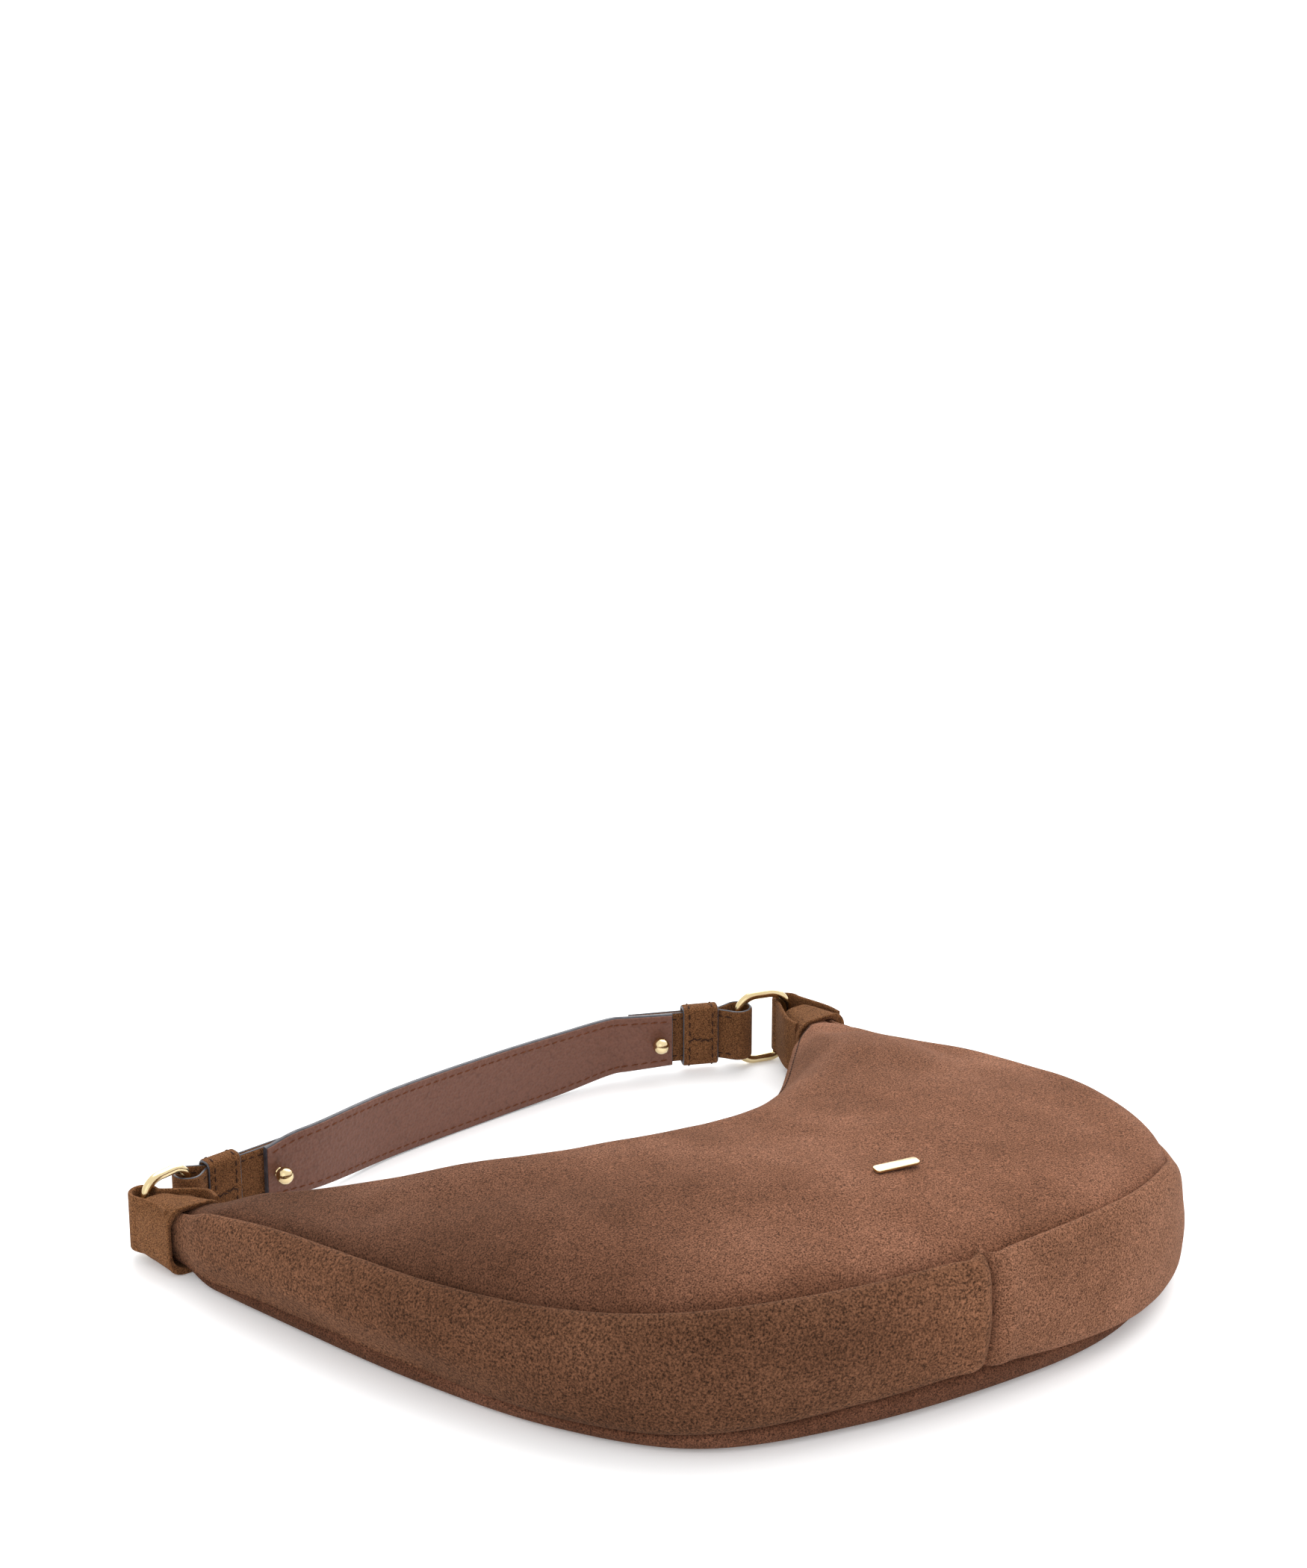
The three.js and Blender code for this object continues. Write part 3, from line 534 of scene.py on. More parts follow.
TRIM_SUEDE = suede_look("trim_suede", (0.115, 0.049, 0.018), (0.150, 0.065, 0.027), (0.190, 0.085, 0.037),
                        nap=0.8, seed=9)
HIDE = hide_look()
PAINT = paint_look()
GOLD = gold_look()
THREAD = thread_look("brown_thread", (0.022, 0.009, 0.005), (0.055, 0.022, 0.011))
RUST = thread_look("rust_thread", (0.085, 0.026, 0.010), (0.17, 0.055, 0.024))
TAPE = woven_look("zip_tape_weave", (0.045, 0.026, 0.018), (0.12, 0.075, 0.052), 0.0011)
COTTON = woven_look("cotton_lining", (0.13, 0.11, 0.10), (0.24, 0.21, 0.19), 0.0009)

# ---- the body ----

PAST_TIP = 0.011
CUFF_MIDDLE = {-1: -143.5, 1: 152.5}
TIP_SQUEEZE = 0.76
TIP_MIDDLE_Z = 14.5


def squeezed(points):
    """Draws the tips together where the cuffs hold them."""
    x, y, z = (points[..., k] for k in range(3))
    hold = smoothstep(-32, -12, y) * (1 - TIP_SQUEEZE)
    middle = np.where(x < 0, CUFF_MIDDLE[-1], CUFF_MIDDLE[1])
    return np.stack([x + (middle - x) * hold, y, z + (TIP_MIDDLE_Z - z) * hold], -1)


def width_at(s):
    return np.linalg.norm(EDGE.at(s) - MOUTH.at(s), axis=-1)


def lip(s):
    """How far the gusset rolls over its upper seam: a fat lip on the left piece, none on the right one."""
    return (0.45 + 0.55 * smoothstep(0.0, 0.1, s)) * smoothstep(0.53, 0.45, s)


def overhang(s):
    """Where the front panel, round the right side, puffs out over its seam."""
    return smoothstep(0.65, 0.71, s) * smoothstep(1.0, 0.92, s)


def ribbed(ribs, v):
    """A smooth run through ribs, each a value over the whole grid, at the share v of the way along them."""
    values = np.stack([np.broadcast_to(rib, v.shape) for rib in ribs])
    last = len(ribs) - 1
    k = np.clip(v * last, 0, last - 1e-9)
    i = k.astype(int)
    t = k - i
    p = [np.take_along_axis(values, np.clip(i + d, 0, last)[None], 0)[0] for d in (-1, 0, 1, 2)]
    m1, m2 = (p[2] - p[0]) / 2, (p[3] - p[1]) / 2
    return (p[1] + t * m1 + t ** 2 * (3 * (p[2] - p[1]) - 2 * m1 - m2)
            + t ** 3 * (2 * (p[1] - p[2]) + m1 + m2))


def front_height(s, r):
    rise = np.minimum(r / CROWN_AT, 1)
    eased = rise * (2 - rise)
    z = seam_top(s) + (crown(s) - seam_top(s)) * eased + puff(s) * np.sin(math.pi * np.clip(rise, 0, 1))
    roll = np.maximum(r - CROWN_AT, 0) / (1 - CROWN_AT)
    bend = 2 - 0.85 * smoothstep(0.66, 0.8, s)
    return z + SUEDE - (crown(s) - mouth_top(s)) * roll ** bend


def front_points(s, r):
    """The front panel's outer face: its seam turned in, soft rumples and folds over the belly."""
    wide = width_at(s)
    roll = lip(s)
    seam_set = (3.0 + 4.2 * roll) / wide
    q = seam_set + r * (1 - seam_set)
    plan = EDGE.at(s) * (1 - q)[..., None] + MOUTH.at(s) * q[..., None]
    from_seam = (q - seam_set) * wide
    from_mouth = (1 - q) * wide
    z = front_height(s, q)
    calm = smoothstep(0.0, 0.08, s) * smoothstep(1.0, 0.92, s)
    z = z - (2.2 + 3.2 * roll) * np.exp(-from_seam / (2.2 + 1.6 * roll))
    z = z - (1.2 + 3.0 * roll) * np.exp(-from_seam / 13) * calm
    z = z - 6.5 * overhang(s) * np.exp(-from_seam / 4.5)
    z = z + 2.8 * overhang(s) * bell(from_seam, 15, 13)
    z = z - 0.9 * np.exp(-(from_mouth / 1.1) ** 2)
    plan = plan + EDGE.out(s) * (1.8 * overhang(s) * bell(from_seam, 2.5, 4.5))[..., None]
    flat = deep(plan, 0 * z)
    middle = smoothstep(4, 26, from_seam) * smoothstep(2, 20, from_mouth) * calm
    z = z + middle * (1.5 * rumple(flat, 75, 1) + 0.8 * rumple(flat, 34, 2) + 0.25 * rumple(flat, 15, 3))
    z = z + tip_folds(plan, middle)
    return squeezed(deep(plan, z))


# soft ridges and hollows that run out of the tips: start, end, height, width
FOLDS = [
    ((150, -40), (95, -110), 1.6, 7), ((158, -48), (128, -150), -1.8, 9), ((150, -70), (60, -150), 1.2, 12),
    ((-135, -60), (-60, -150), -1.4, 10), ((-120, -70), (-20, -140), 1.0, 10),
    ((20, -150), (90, -215), -1.3, 15), ((-60, -170), (10, -225), -1.0, 16),
]


def tip_folds(plan, weight):
    total = 0
    for start, end, height, width in FOLDS:
        a, b = np.array(start, float), np.array(end, float)
        run = (b - a) / np.linalg.norm(b - a)
        off = (plan - a) @ np.array([-run[1], run[0]])
        share = (plan - a) @ run / np.linalg.norm(b - a)
        fade = smoothstep(-0.15, 0.25, share) * smoothstep(1.15, 0.6, share)
        total = total + height * bell(off, 0, width) * fade
    return total * weight


def gusset_points(s, v):
    """The gusset's outer face from the lower seam to the upper, rolled over at the top of the left piece."""
    low, top = seam_low(s), seam_top(s) - 6.0 * overhang(s)
    tall = top - low
    taper = np.minimum(1, np.minimum(7 * s + 0.15, 7 * (1 - s) + 0.15))
    full = 4.6 * np.clip(taper, 0.1, 1)
    roll = lip(s)
    tuck = smoothstep(0.3, 0.18, s)
    plain = 1 - roll
    # each rib: how far it stands out from the bag's outline, its height
    ribs = [
        (-2.2, low + 0.6),
        (0.8 - 2.2 * tuck, low - 1.1),
        ((0.7 - 0.5 * tuck) * full + 1.2 - 1.6 * tuck, low + 0.08 * tall),
        (full + 1.2, low + 0.4 * tall),
        (0.9 * full + 0.8, low + 0.68 * tall),
        (0.5 * full + 1.2 + 0.6 * roll, low + 0.9 * tall - 1.5 * roll),
        (0.9 * plain - 0.2 * roll, top + 0.1),
        (-0.8 * plain - 3.4 * roll, top + 1.0 + 0.6 * roll),
        (-2.2 * plain - 6.0 * roll, top + 0.2 - 0.8 * roll),
        (-2.8 * plain - 7.2 * roll, top - 3.0 - 3.6 * roll),
    ]
    reach = ribbed([a for a, _ in ribs], v)
    z = ribbed([b for _, b in ribs], v)
    plan = EDGE.at(s)
    flat = deep(plan, z)
    loose = np.sin(math.pi * np.clip(v * 1.2 - 0.05, 0, 1)) * np.clip(taper, 0, 1)
    reach = reach + loose * (1.3 * rumple(flat, 60, 5) + 0.6 * rumple(flat, 24, 6) + 0.2 * rumple(flat, 9, 7))
    from_cross = np.abs(s - CROSS_SEAM - CROSS_BOW * np.sin(math.pi * v)) * EDGE.length
    reach = reach - 3.8 * np.exp(-from_cross / 1.5) + 1.2 * bell(from_cross, 6, 4)
    return squeezed(deep(plan + EDGE.out(s) * reach[..., None], z))


def gusset_grid(low, high, count, rows, bow_low, bow_high):
    """Places on a gusset piece between two ends, either of which may be the bowed cross seam."""
    u, v = np.meshgrid(np.linspace(0, 1, count), np.linspace(0, 1, rows), indexing="ij")
    bow = CROSS_BOW * np.sin(math.pi * v)
    start, end = low + bow * bow_low, high + bow * bow_high
    return gusset_points(start + (end - start) * u, v)


TURNED = 0.2  # the share of the back panel's width that curls up to the seam


def back_points(s, r):
    """The back panel's outer face: tucked under at its seam, then flat on the ground to the mouth."""
    low = seam_low(s)
    wide = width_at(s)
    near_tip = np.clip(wide / 60, 0.3, 1)
    tuck = 1.8 * smoothstep(0.3, 0.15, s) + 3.5 * smoothstep(0.54, 0.64, s)
    swell = 1.6 * bell(s, 0.42, 0.12) - tuck
    last = (-11.5 - tuck) * near_tip
    turned = np.clip(r / TURNED, 0, 1)
    reach = ribbed([-2.2, 0.6 + swell, 0.5 + swell, -1.4 + swell, -5.5 - tuck, last], turned)
    z = ribbed([low * 1.04, low * 0.8, low * 0.48, low * 0.19, low * 0.03, 0 * low], turned)
    beyond = np.clip((r - TURNED) / (1 - TURNED), 0, 1)
    inward = -reach + beyond * (wide + last)
    share = np.clip(inward / wide, 0, 1)[..., None]
    plan = (EDGE.at(s) + EDGE.out(s) * np.maximum(reach, 0)[..., None]) * (1 - share) + MOUTH.at(s) * share
    return squeezed(deep(plan, np.maximum(z, 0)))


def in_grid(fn, s, r):
    ss, rr = np.meshgrid(s, r, indexing="ij")
    return fn(ss, rr)


def body_ride(piece, node):
    """A body piece stands for its CAD node, whose part it hides; its place is baked into its mesh."""
    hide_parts(node)
    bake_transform(piece)


PANEL_SKIN = 1.4
GUSSET_SKIN = 1.3


def body():
    s = np.linspace(-PAST_TIP, 1 + PAST_TIP, 420)
    near_seam = np.linspace(0, 1, 110) ** 1.35  # rows crowd towards the seam
    front = slab("front_skin", in_grid(front_points, s, near_seam), PANEL_SKIN, BODY_SUEDE)
    body_ride(front, "front_panel")
    rows = np.concatenate([np.linspace(0, TURNED, 22), np.linspace(TURNED + 0.02, 1, 30)])
    back = slab("back_skin", in_grid(back_points, s, rows), -PANEL_SKIN, BACK_SUEDE)
    body_ride(back, "back_panel")
    for name, low, high, bows, look in (("gusset_left", -PAST_TIP, CROSS_SEAM, (0, 1), SIDE_SUEDE),
                                        ("gusset_right", CROSS_SEAM, 1 + PAST_TIP, (1, 0), RIGHT_SUEDE)):
        grid = gusset_grid(low, high, 300, 50, *bows)
        body_ride(slab(f"{name}_skin", grid, GUSSET_SKIN, look), name)


body()

# ---- lining ----


LINING_THICK = 0.7
LINING_INSET = 14  # from the panel's seam
LINING_SHORT = 5  # of the mouth


def lining(name, node, height):
    """One half of the lining: a loose cotton sheet at a height given for each place."""
    s, v = np.meshgrid(np.linspace(0.035, 0.965, 120), np.linspace(0, 1, 30), indexing="ij")
    wide = width_at(s)
    r = LINING_INSET / wide + v * (1 - (LINING_INSET + LINING_SHORT) / wide)
    plan = EDGE.at(s) * (1 - r)[..., None] + MOUTH.at(s) * r[..., None]
    flat = deep(plan, 0 * r)
    z = height(s, r) + 0.9 * rumple(flat, 30, 11) + 0.4 * rumple(flat, 12, 12)
    body_ride(slab(name, deep(plan, z), LINING_THICK, COTTON), node)


# ---- mouth: hems, zip ----

HEM_TALL = 6
HEM_DEPTH = -0.7
HEM_WALL = 1.6
TAPE_DEPTH = 1.5
TEETH_FROM = 0.08
TEETH_TO = 0.92
TEETH = 108
STOP_AT = {-1: 0.06, 1: 0.94}
# a tooth from its foot to its head: height, width along the zip, thickness
TOOTH = [(-0.5, 0.6, 0.9), (-0.2, 0.95, 1.3), (1.2, 0.95, 1.3), (1.6, 1.3, 1.9), (3.3, 1.3, 1.9),
         (3.7, 0.9, 1.5)]


def mouth_band(name, node, look, low, high, depth, thick, part=(0.02, 0.98), wave=0.0):
    """An upright band along the mouth, between two heights and at a depth into the bag."""
    s = np.linspace(*part, 260)
    tall = high(s) - low(s)
    centres = deep(MOUTH.at(s) + MOUTH.out(s) * (depth + thick / 2), (high(s) + low(s)) / 2)
    centres[:, 2] += wave * rumple(centres, 18, 21)
    sections = stretched(rounded(thick, 10, thick * 0.45, rows=4), thick * 0.45, tall)
    across = deep(MOUTH.out(s), 0)
    piece = sweep(name, squeezed(centres), across, upward(len(s)), sections, look)
    body_ride(piece, node)


def hem_top(s):
    return mouth_top(s) + 0.9


def mouth_zone():
    mouth_band("hem_front_turned", "hem_front", BODY_SUEDE,
               lambda s: hem_top(s) - HEM_TALL - 1, hem_top, HEM_DEPTH, HEM_WALL, wave=0.3)
    mouth_band("hem_back_turned", "hem_back", BACK_SUEDE,
               lambda s: 0 * s + 1.2, lambda s: 0 * s + SUEDE + HEM_TALL, HEM_DEPTH, HEM_WALL, wave=0.2)
    mouth_band("zip_tape_front_weave", "zip_tape_front", TAPE,
               lambda s: 0 * s + ZIP_Z + 1.5, lambda s: mouth_top(s) - 0.9, TAPE_DEPTH, 0.8)
    mouth_band("zip_tape_back_weave", "zip_tape_back", TAPE,
               lambda s: 0 * s + 3.0, lambda s: 0 * s + ZIP_Z - 1.5, TAPE_DEPTH, 0.8)
    teeth("zip_teeth_front_row", "zip_teeth_front", 1, 0)
    teeth("zip_teeth_back_row", "zip_teeth_back", -1, 0.5)
    for side in SIDES:
        stop(side)


def on_tape(s):
    """Places on the middle of the zip's tapes."""
    return squeezed(deep(MOUTH.at(s) + MOUTH.out(s) * (TAPE_DEPTH + 0.4), ZIP_Z + 0 * s))


def teeth(name, node, side, phase):
    """One row of metal teeth: each a rounded block clamped on the tape, with a narrower head."""
    s = TEETH_FROM + (np.arange(TEETH) + 0.5 + phase) / TEETH * (TEETH_TO - TEETH_FROM)
    along, out = deep(MOUTH.along(s), 0), deep(MOUTH.out(s), 0)
    block = np.array([deep(rounded(wide, thick, 0.28, arc=2), height) for height, wide, thick in TOOTH])
    rings, m = block.shape[:2]
    points, faces = [], []
    for k, (c, a, o) in enumerate(zip(on_tape(s), along, out)):
        points.append(c + block[..., :1] * a + block[..., 1:2] * o + block[..., 2:] * UP * side)
        faces += tube_faces(rings, m, k * rings * m)
    body_ride(solid(name, np.array(points).reshape(-1, 3), faces, GOLD), node)


def stop(side):
    """The metal stop at one end of the zip."""
    s = STOP_AT[side] + np.linspace(-0.004, 0.004, 5)
    size = np.array([0.7, 0.95, 1.0, 0.95, 0.7])[:, None, None]
    name = f"zip_stop_{SIDES[side]}"
    section = rounded(2.0, 6.4, 0.7) * size
    piece = sweep(f"{name}_block", on_tape(s), deep(MOUTH.out(s), 0), upward(len(s)), section, GOLD)
    body_ride(piece, name)


def mouth_stitches():
    """Close stitches along the mouth, on the front panel and on the back hem."""
    s = spaced(MOUTH, 0.0, 1.0, 2.4)
    r = 1 - 2.0 / width_at(s)
    here = front_points(s, r)
    beside = front_points(s, r - 0.02)
    along = np.gradient(here, axis=0)
    along /= np.linalg.norm(along, axis=1, keepdims=True)
    normal = np.cross(beside - here, along)
    normal /= np.linalg.norm(normal, axis=1, keepdims=True)
    normal *= np.sign(normal[:, 2:] + 1e-6)
    front = (here + normal * 0.05, along, normal)
    low = squeezed(deep(MOUTH.at(s) - MOUTH.out(s) * 0.8, 6.4))
    back = (low, deep(MOUTH.along(s), 0), -deep(MOUTH.out(s), 0))
    piece = stitches("mouth_stitches", [front, back], 1.9, 0.42, THREAD)
    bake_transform(piece)


# ---- strap ----


def strap_line():
    left, right = CHAPE_BAR[-1], CHAPE_BAR[1]

    def past(bar, stud, distance):
        run = stud - bar
        return stud + run / np.linalg.norm(run) * distance

    points = [
        left, STUD[-1], past(left, STUD[-1], 20), (-36, 31), (20, 38), (56, 40),
        past(right, STUD[1], 20), past(right, STUD[1], 13), STUD[1], right,
    ]
    return Line(smooth_through(points))


STRAP = strap_line()


def strap_share(x):
    return float(np.interp(x, STRAP.p[:, 0], STRAP.d)) / STRAP.length


STRAP_FROM = strap_share(STUD[-1][0] - STRAP_PAST_STUD)
STRAP_TO = strap_share(STUD[1][0] + STRAP_PAST_STUD)


def strap_size(t):
    """Height of the strap's lower edge and its width, between its two ends."""
    share = (t - STRAP_FROM) / (STRAP_TO - STRAP_FROM)
    return strap_low(share), strap_wide(share)


def strap_part(name, near, far, look, grow, radius, steps=170, ends=0.0):
    """A layer of the strap between two depths, its edges drawn back or standing out by grow."""
    reach = ends / STRAP.length
    t = np.linspace(STRAP_FROM - reach, STRAP_TO + reach, steps)
    low, tall = strap_size(t)
    out = -STRAP.out(t)
    centres = deep(STRAP.at(t) + out * (near + far) / 2, low + tall / 2)
    sections = stretched(rounded(far - near, 10, radius, arc=3, rows=10), radius, tall + 2 * grow)
    return sweep(name, centres, deep(out, 0), upward(steps), sections, look)


def strap_row(edge, depth, facing):
    """Stitches near the strap's upper (1) or lower (-1) edge, on its inner or outer face."""
    t = spaced(STRAP, STRAP_FROM + 0.006, STRAP_TO - 0.006, 4.1)
    low, tall = strap_size(t)
    out = -STRAP.out(t)
    height = low + tall / 2 + edge * (tall / 2 - 2.9)
    points = deep(STRAP.at(t) + out * depth, height)
    along = deep(STRAP.along(t), 0)
    lift = np.gradient(height) / np.linalg.norm(np.gradient(points[:, :2], axis=0), axis=1)
    along[:, 2] = lift + 0.10
    along /= np.linalg.norm(along, axis=1, keepdims=True)
    return points, along, deep(out, 0) * facing


def placed(piece, body, node=None):
    """Says what a piece rides on and the CAD node that it stands for, if any, and hides that node's part."""
    if node:
        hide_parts(node)
    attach(piece, body)


def strap():
    half = LAYER + 0.15
    inner, seam, outer = STRAP_SET - half, STRAP_SET, STRAP_SET + half
    lining = strap_part("strap_lining_hide", inner, seam - 0.05, HIDE, -0.25, 0.45)
    suede = strap_part("strap_outer_suede", seam + 0.05, outer, TRIM_SUEDE, -0.25, 0.45)
    paint = strap_part("strap_edge_paint", inner + 0.4, outer - 0.4, PAINT, 0.25, 0.8, ends=0.3)
    rust_rows = [strap_row(edge, inner, -1) for edge in (1, -1)]
    brown_rows = [strap_row(edge, outer, 1) for edge in (1, -1)]
    rust = stitches("strap_lining_stitches", rust_rows, 3.2, 0.38, RUST)
    brown = stitches("strap_suede_stitches", brown_rows, 3.2, 0.36, THREAD)
    placed(lining, "strap", "strap_lining")
    placed(suede, "strap", "strap_outer")
    placed(paint, "strap")
    placed(rust, "strap")
    placed(brown, "strap")


def frame_of(side):
    """A chape's bar, its direction to the stud, the direction out of the strap's outer face, its reach."""
    bar, stud_at = CHAPE_BAR[side], STUD[side]
    reach = np.linalg.norm(stud_at - bar)
    run = (stud_at - bar) / reach
    outer = np.array([-run[1], run[0]]) * -side
    return bar, run, outer, reach


def chape_line(side, gap=0.95, radius=5.35):
    """The strip's middle in plan: the inner leaf, round the ring's bar, and the outer leaf."""
    bar, run, outer, reach = frame_of(side)
    long = reach + CHAPE_PAST_STUD[side]
    bend = np.radians(np.linspace(62, 298, 25))
    loop = bar + radius * (np.cos(bend)[:, None] * run - np.sin(bend)[:, None] * outer)
    inner = [bar + run * d - outer * gap for d in np.linspace(long, 9, 20)]
    outside = [bar + run * d + outer * gap for d in np.linspace(9, long, 20)]
    return Line(smooth_through([*inner, *loop, *outside], 6))


def strip(name, line, low, tall, thick, look, steps=150):
    s = np.linspace(0, 1, steps)
    out = line.out(s)
    centres = deep(line.at(s), low + tall / 2)
    section = rounded(thick, tall, min(thick * 0.45, 0.7), arc=3, rows=8)
    return sweep(name, centres, deep(out, 0), upward(steps), section, look)


def strip_row(line, part, height, depth, pitch):
    s = spaced(line, *part, pitch)
    out = line.out(s)
    return deep(line.at(s) + out * depth, height), deep(line.along(s), 0), deep(out, 0) * np.sign(depth)


CHAPE_EDGE = 2.8  # from the strip's edge to its stitches
CHAPE_FACE = 0.8  # from the strip's middle layer to its stitches


def chape(side):
    """The strip that folds round a ring and doubles back under the strap, its paint and its stitches."""
    name = SIDES[side]
    line = chape_line(side)
    suede = strip(f"{name}_chape_suede", line, CHAPE_LOW + 0.3, CHAPE_TALL - 0.6, 1.6, TRIM_SUEDE)
    placed(suede, "strap", f"{name}_chape")
    paint = strip(f"{name}_chape_edge_paint", line, CHAPE_LOW + 0.1, CHAPE_TALL - 0.2, 0.9, PAINT)
    placed(paint, "strap")
    rows = [
        strip_row(line, part, height, depth, 4.0)
        for part in ((0.01, 0.40), (0.60, 0.99))
        for height in (CHAPE_LOW + CHAPE_EDGE, CHAPE_LOW + CHAPE_TALL - CHAPE_EDGE)
        for depth in (-CHAPE_FACE, CHAPE_FACE)
    ]
    placed(stitches(f"{name}_chape_stitches", rows, 3.0, 0.36, THREAD), "strap")


KEEPER_WALL = 1.5
KEEPER_EDGE = 2.6  # from the loop's edge to its stitches


def keeper(side):
    """A loop of suede round strap and chape, its ends butted on the inner face and sewn across."""
    name = SIDES[side]
    bar, run, outer, _ = frame_of(side)
    centre = bar + run * KEEPER_AT[side]
    origin = np.array([*centre, CHAPE_LOW + CHAPE_TALL / 2])
    thick, tall = 4.6 + KEEPER_WALL, CHAPE_TALL + 1.2 + KEEPER_WALL
    outline = rounded(thick, tall, 1.9, arc=6)
    loop = Line(np.vstack([outline, outline[:1]]))

    def stood(pairs):
        """Pairs (out of the strap's face, up) as directions in space."""
        return np.column_stack([pairs[:, :1] * outer, pairs[:, 1]])

    turn = np.linspace(0, 1, 97)[:-1]
    flat = loop.at(turn)
    middle, across = origin + stood(flat), stood(loop.out(turn, 0.01))
    up = np.broadcast_to([*run, 0.0], across.shape)
    on_join = bell(flat[:, 1], -1.0, 1.3) * (flat[:, 0] < 0)
    section = [rounded(KEEPER_WALL + 0.5 * j, KEEPER_LONG - 0.4, 0.6, arc=3, rows=6) for j in on_join]
    suede = sweep(f"{name}_keeper_suede", middle, across, up, np.stack(section), TRIM_SUEDE, closed=True)
    placed(suede, f"{name}_keeper", f"{name}_keeper")
    core = rounded(KEEPER_WALL - 0.5, KEEPER_LONG + 0.2, 0.45)
    paint = sweep(f"{name}_keeper_edge_paint", middle, across, up, core, PAINT, closed=True)
    placed(paint, f"{name}_keeper")

    t = spaced(loop, 0, 1, 3.6)
    normal, along = stood(loop.out(t, 0.01)), stood(loop.along(t, 0.01))
    face = origin + stood(loop.at(t)) + normal * KEEPER_WALL / 2
    aside = np.array([*run, 0]) * (KEEPER_LONG / 2 - KEEPER_EDGE)
    rows = [(face + edge * aside, along, normal) for edge in (-1, 1)]
    spread = np.linspace(-4.2, 4.2, 6)
    on_face = centre - outer * ((thick + KEEPER_WALL) / 2 + 0.25)
    join = deep(on_face + spread[:, None] * run, origin[2] - 1.0 + 0.5 * np.sin(3 * spread))
    slant = deep(np.tile(run * 0.8, (len(spread), 1)), 0.6 * np.cos(5 * spread))
    slant /= np.linalg.norm(slant, axis=1, keepdims=True)
    rows.append((join, slant, np.broadcast_to([*(-outer), 0.0], join.shape)))
    thread = stitches(f"{name}_keeper_stitches", rows, 2.7, 0.38, THREAD)
    placed(thread, f"{name}_keeper")


def lathe(name, profile_points, origin, axis, look, turns=40):
    """A turned piece: (radius, distance) points along an axis in plan."""
    axis = np.array([*axis, 0.0])
    side = np.array([-axis[1], axis[0], 0.0])
    p = np.array(profile_points, float)
    angle = np.linspace(0, 2 * math.pi, turns, endpoint=False)
    circle = np.cos(angle)[:, None] * side + np.sin(angle)[:, None] * UP
    shell = origin + p[1:-1, None, 1:] * axis + p[1:-1, None, :1] * circle
    points = np.vstack([shell.reshape(-1, 3), origin + p[0, 1] * axis, origin + p[-1, 1] * axis])
    return solid(name, points, pointed_faces(len(p) - 2, turns), look, 40)


# the cover of a stud's foot: radius, distance from the chape's middle
STUD_FOOT = [(2.0, 2.0), (4.1, 2.05), (4.4, 2.35), (4.3, 2.75), (3.4, 3.15), (1.2, 3.32), (0, 3.34)]


def stud(side):
    """A ball stud through strap and chape, with a domed cover on its foot."""
    outer = frame_of(side)[2]
    front = STRAP_SET - LAYER - 0.15
    ball_at = front - 0.3 - STUD_BALL
    points = [(0, ball_at - STUD_BALL)]
    for a in np.radians(np.linspace(9, 146, 16)):
        points.append((STUD_BALL * math.sin(a), ball_at - STUD_BALL * math.cos(a)))
    points += [(2.2, ball_at + STUD_BALL - 0.2), (2.0, front + 0.3), *STUD_FOOT]
    origin = np.array([*STUD[side], CHAPE_LOW + CHAPE_TALL / 2])
    piece = lathe(f"{SIDES[side]}_ball_stud", points, origin, outer, GOLD)
    placed(piece, "strap", f"{SIDES[side]}_stud")


def ring(side):
    """A wire ring with round corners, standing on edge."""
    wire = rounded(RING_WIDE, RING_TALL, RING_CORNER, arc=14)
    line = Line(np.vstack([wire, wire[:1]]))
    t = np.linspace(0, 1, 129)[:-1]
    flat, square = line.at(t), line.out(t, 0.006)
    run = (CHAPE_BAR[side] - TAB_BAR[side]) / RING_WIDE
    middle = (CHAPE_BAR[side] + TAB_BAR[side]) / 2
    centres = deep(middle[None] + flat[:, :1] * run, RING_Z + flat[:, 1])
    across = np.column_stack([square[:, :1] * run, square[:, 1]])
    up = np.broadcast_to([-run[1], run[0], 0.0], across.shape)
    turn = np.linspace(0, 2 * math.pi, 20, endpoint=False)
    section = RING_WIRE * np.stack([np.cos(turn), np.sin(turn)], -1)
    name = f"{SIDES[side]}_ring"
    piece = sweep(f"{name}_wire", centres, across, up, section, GOLD, closed=True)
    placed(piece, name, name)


# ---- tabs ----

TAB_HALF = 10.9
TAB_FOLD = 5.3
CUFF_LONG = 18
CUFF_MOUTH_Y = -13
CUFF_CORNER = 6.8
CUFF_MIDDLE_Z = 15
CUFF_RIM_Y = [0.7, 0.1, 0.0, 0.2, 0.7]
CUFF_RIM_GROW = [-1.5, -0.9, -0.35, -0.05, 0.15]
CUFF_ROWS = 22
# how a cuff's mouth is carried inside it: share of its size kept, y
CUFF_INSIDE = [(0.88, 3.0), (0.93, -5), (0.95, CUFF_MOUTH_Y + 0.8)]


def drawn_in(loop, x, y, wide, tall):
    """A loop of a cuff at another y, made narrower and lower about its middle."""
    z = CUFF_MIDDLE_Z + (loop[:, 2] - CUFF_MIDDLE_Z) * tall
    return np.column_stack([x + (loop[:, 0] - x) * wide, np.full(len(loop), y), z])


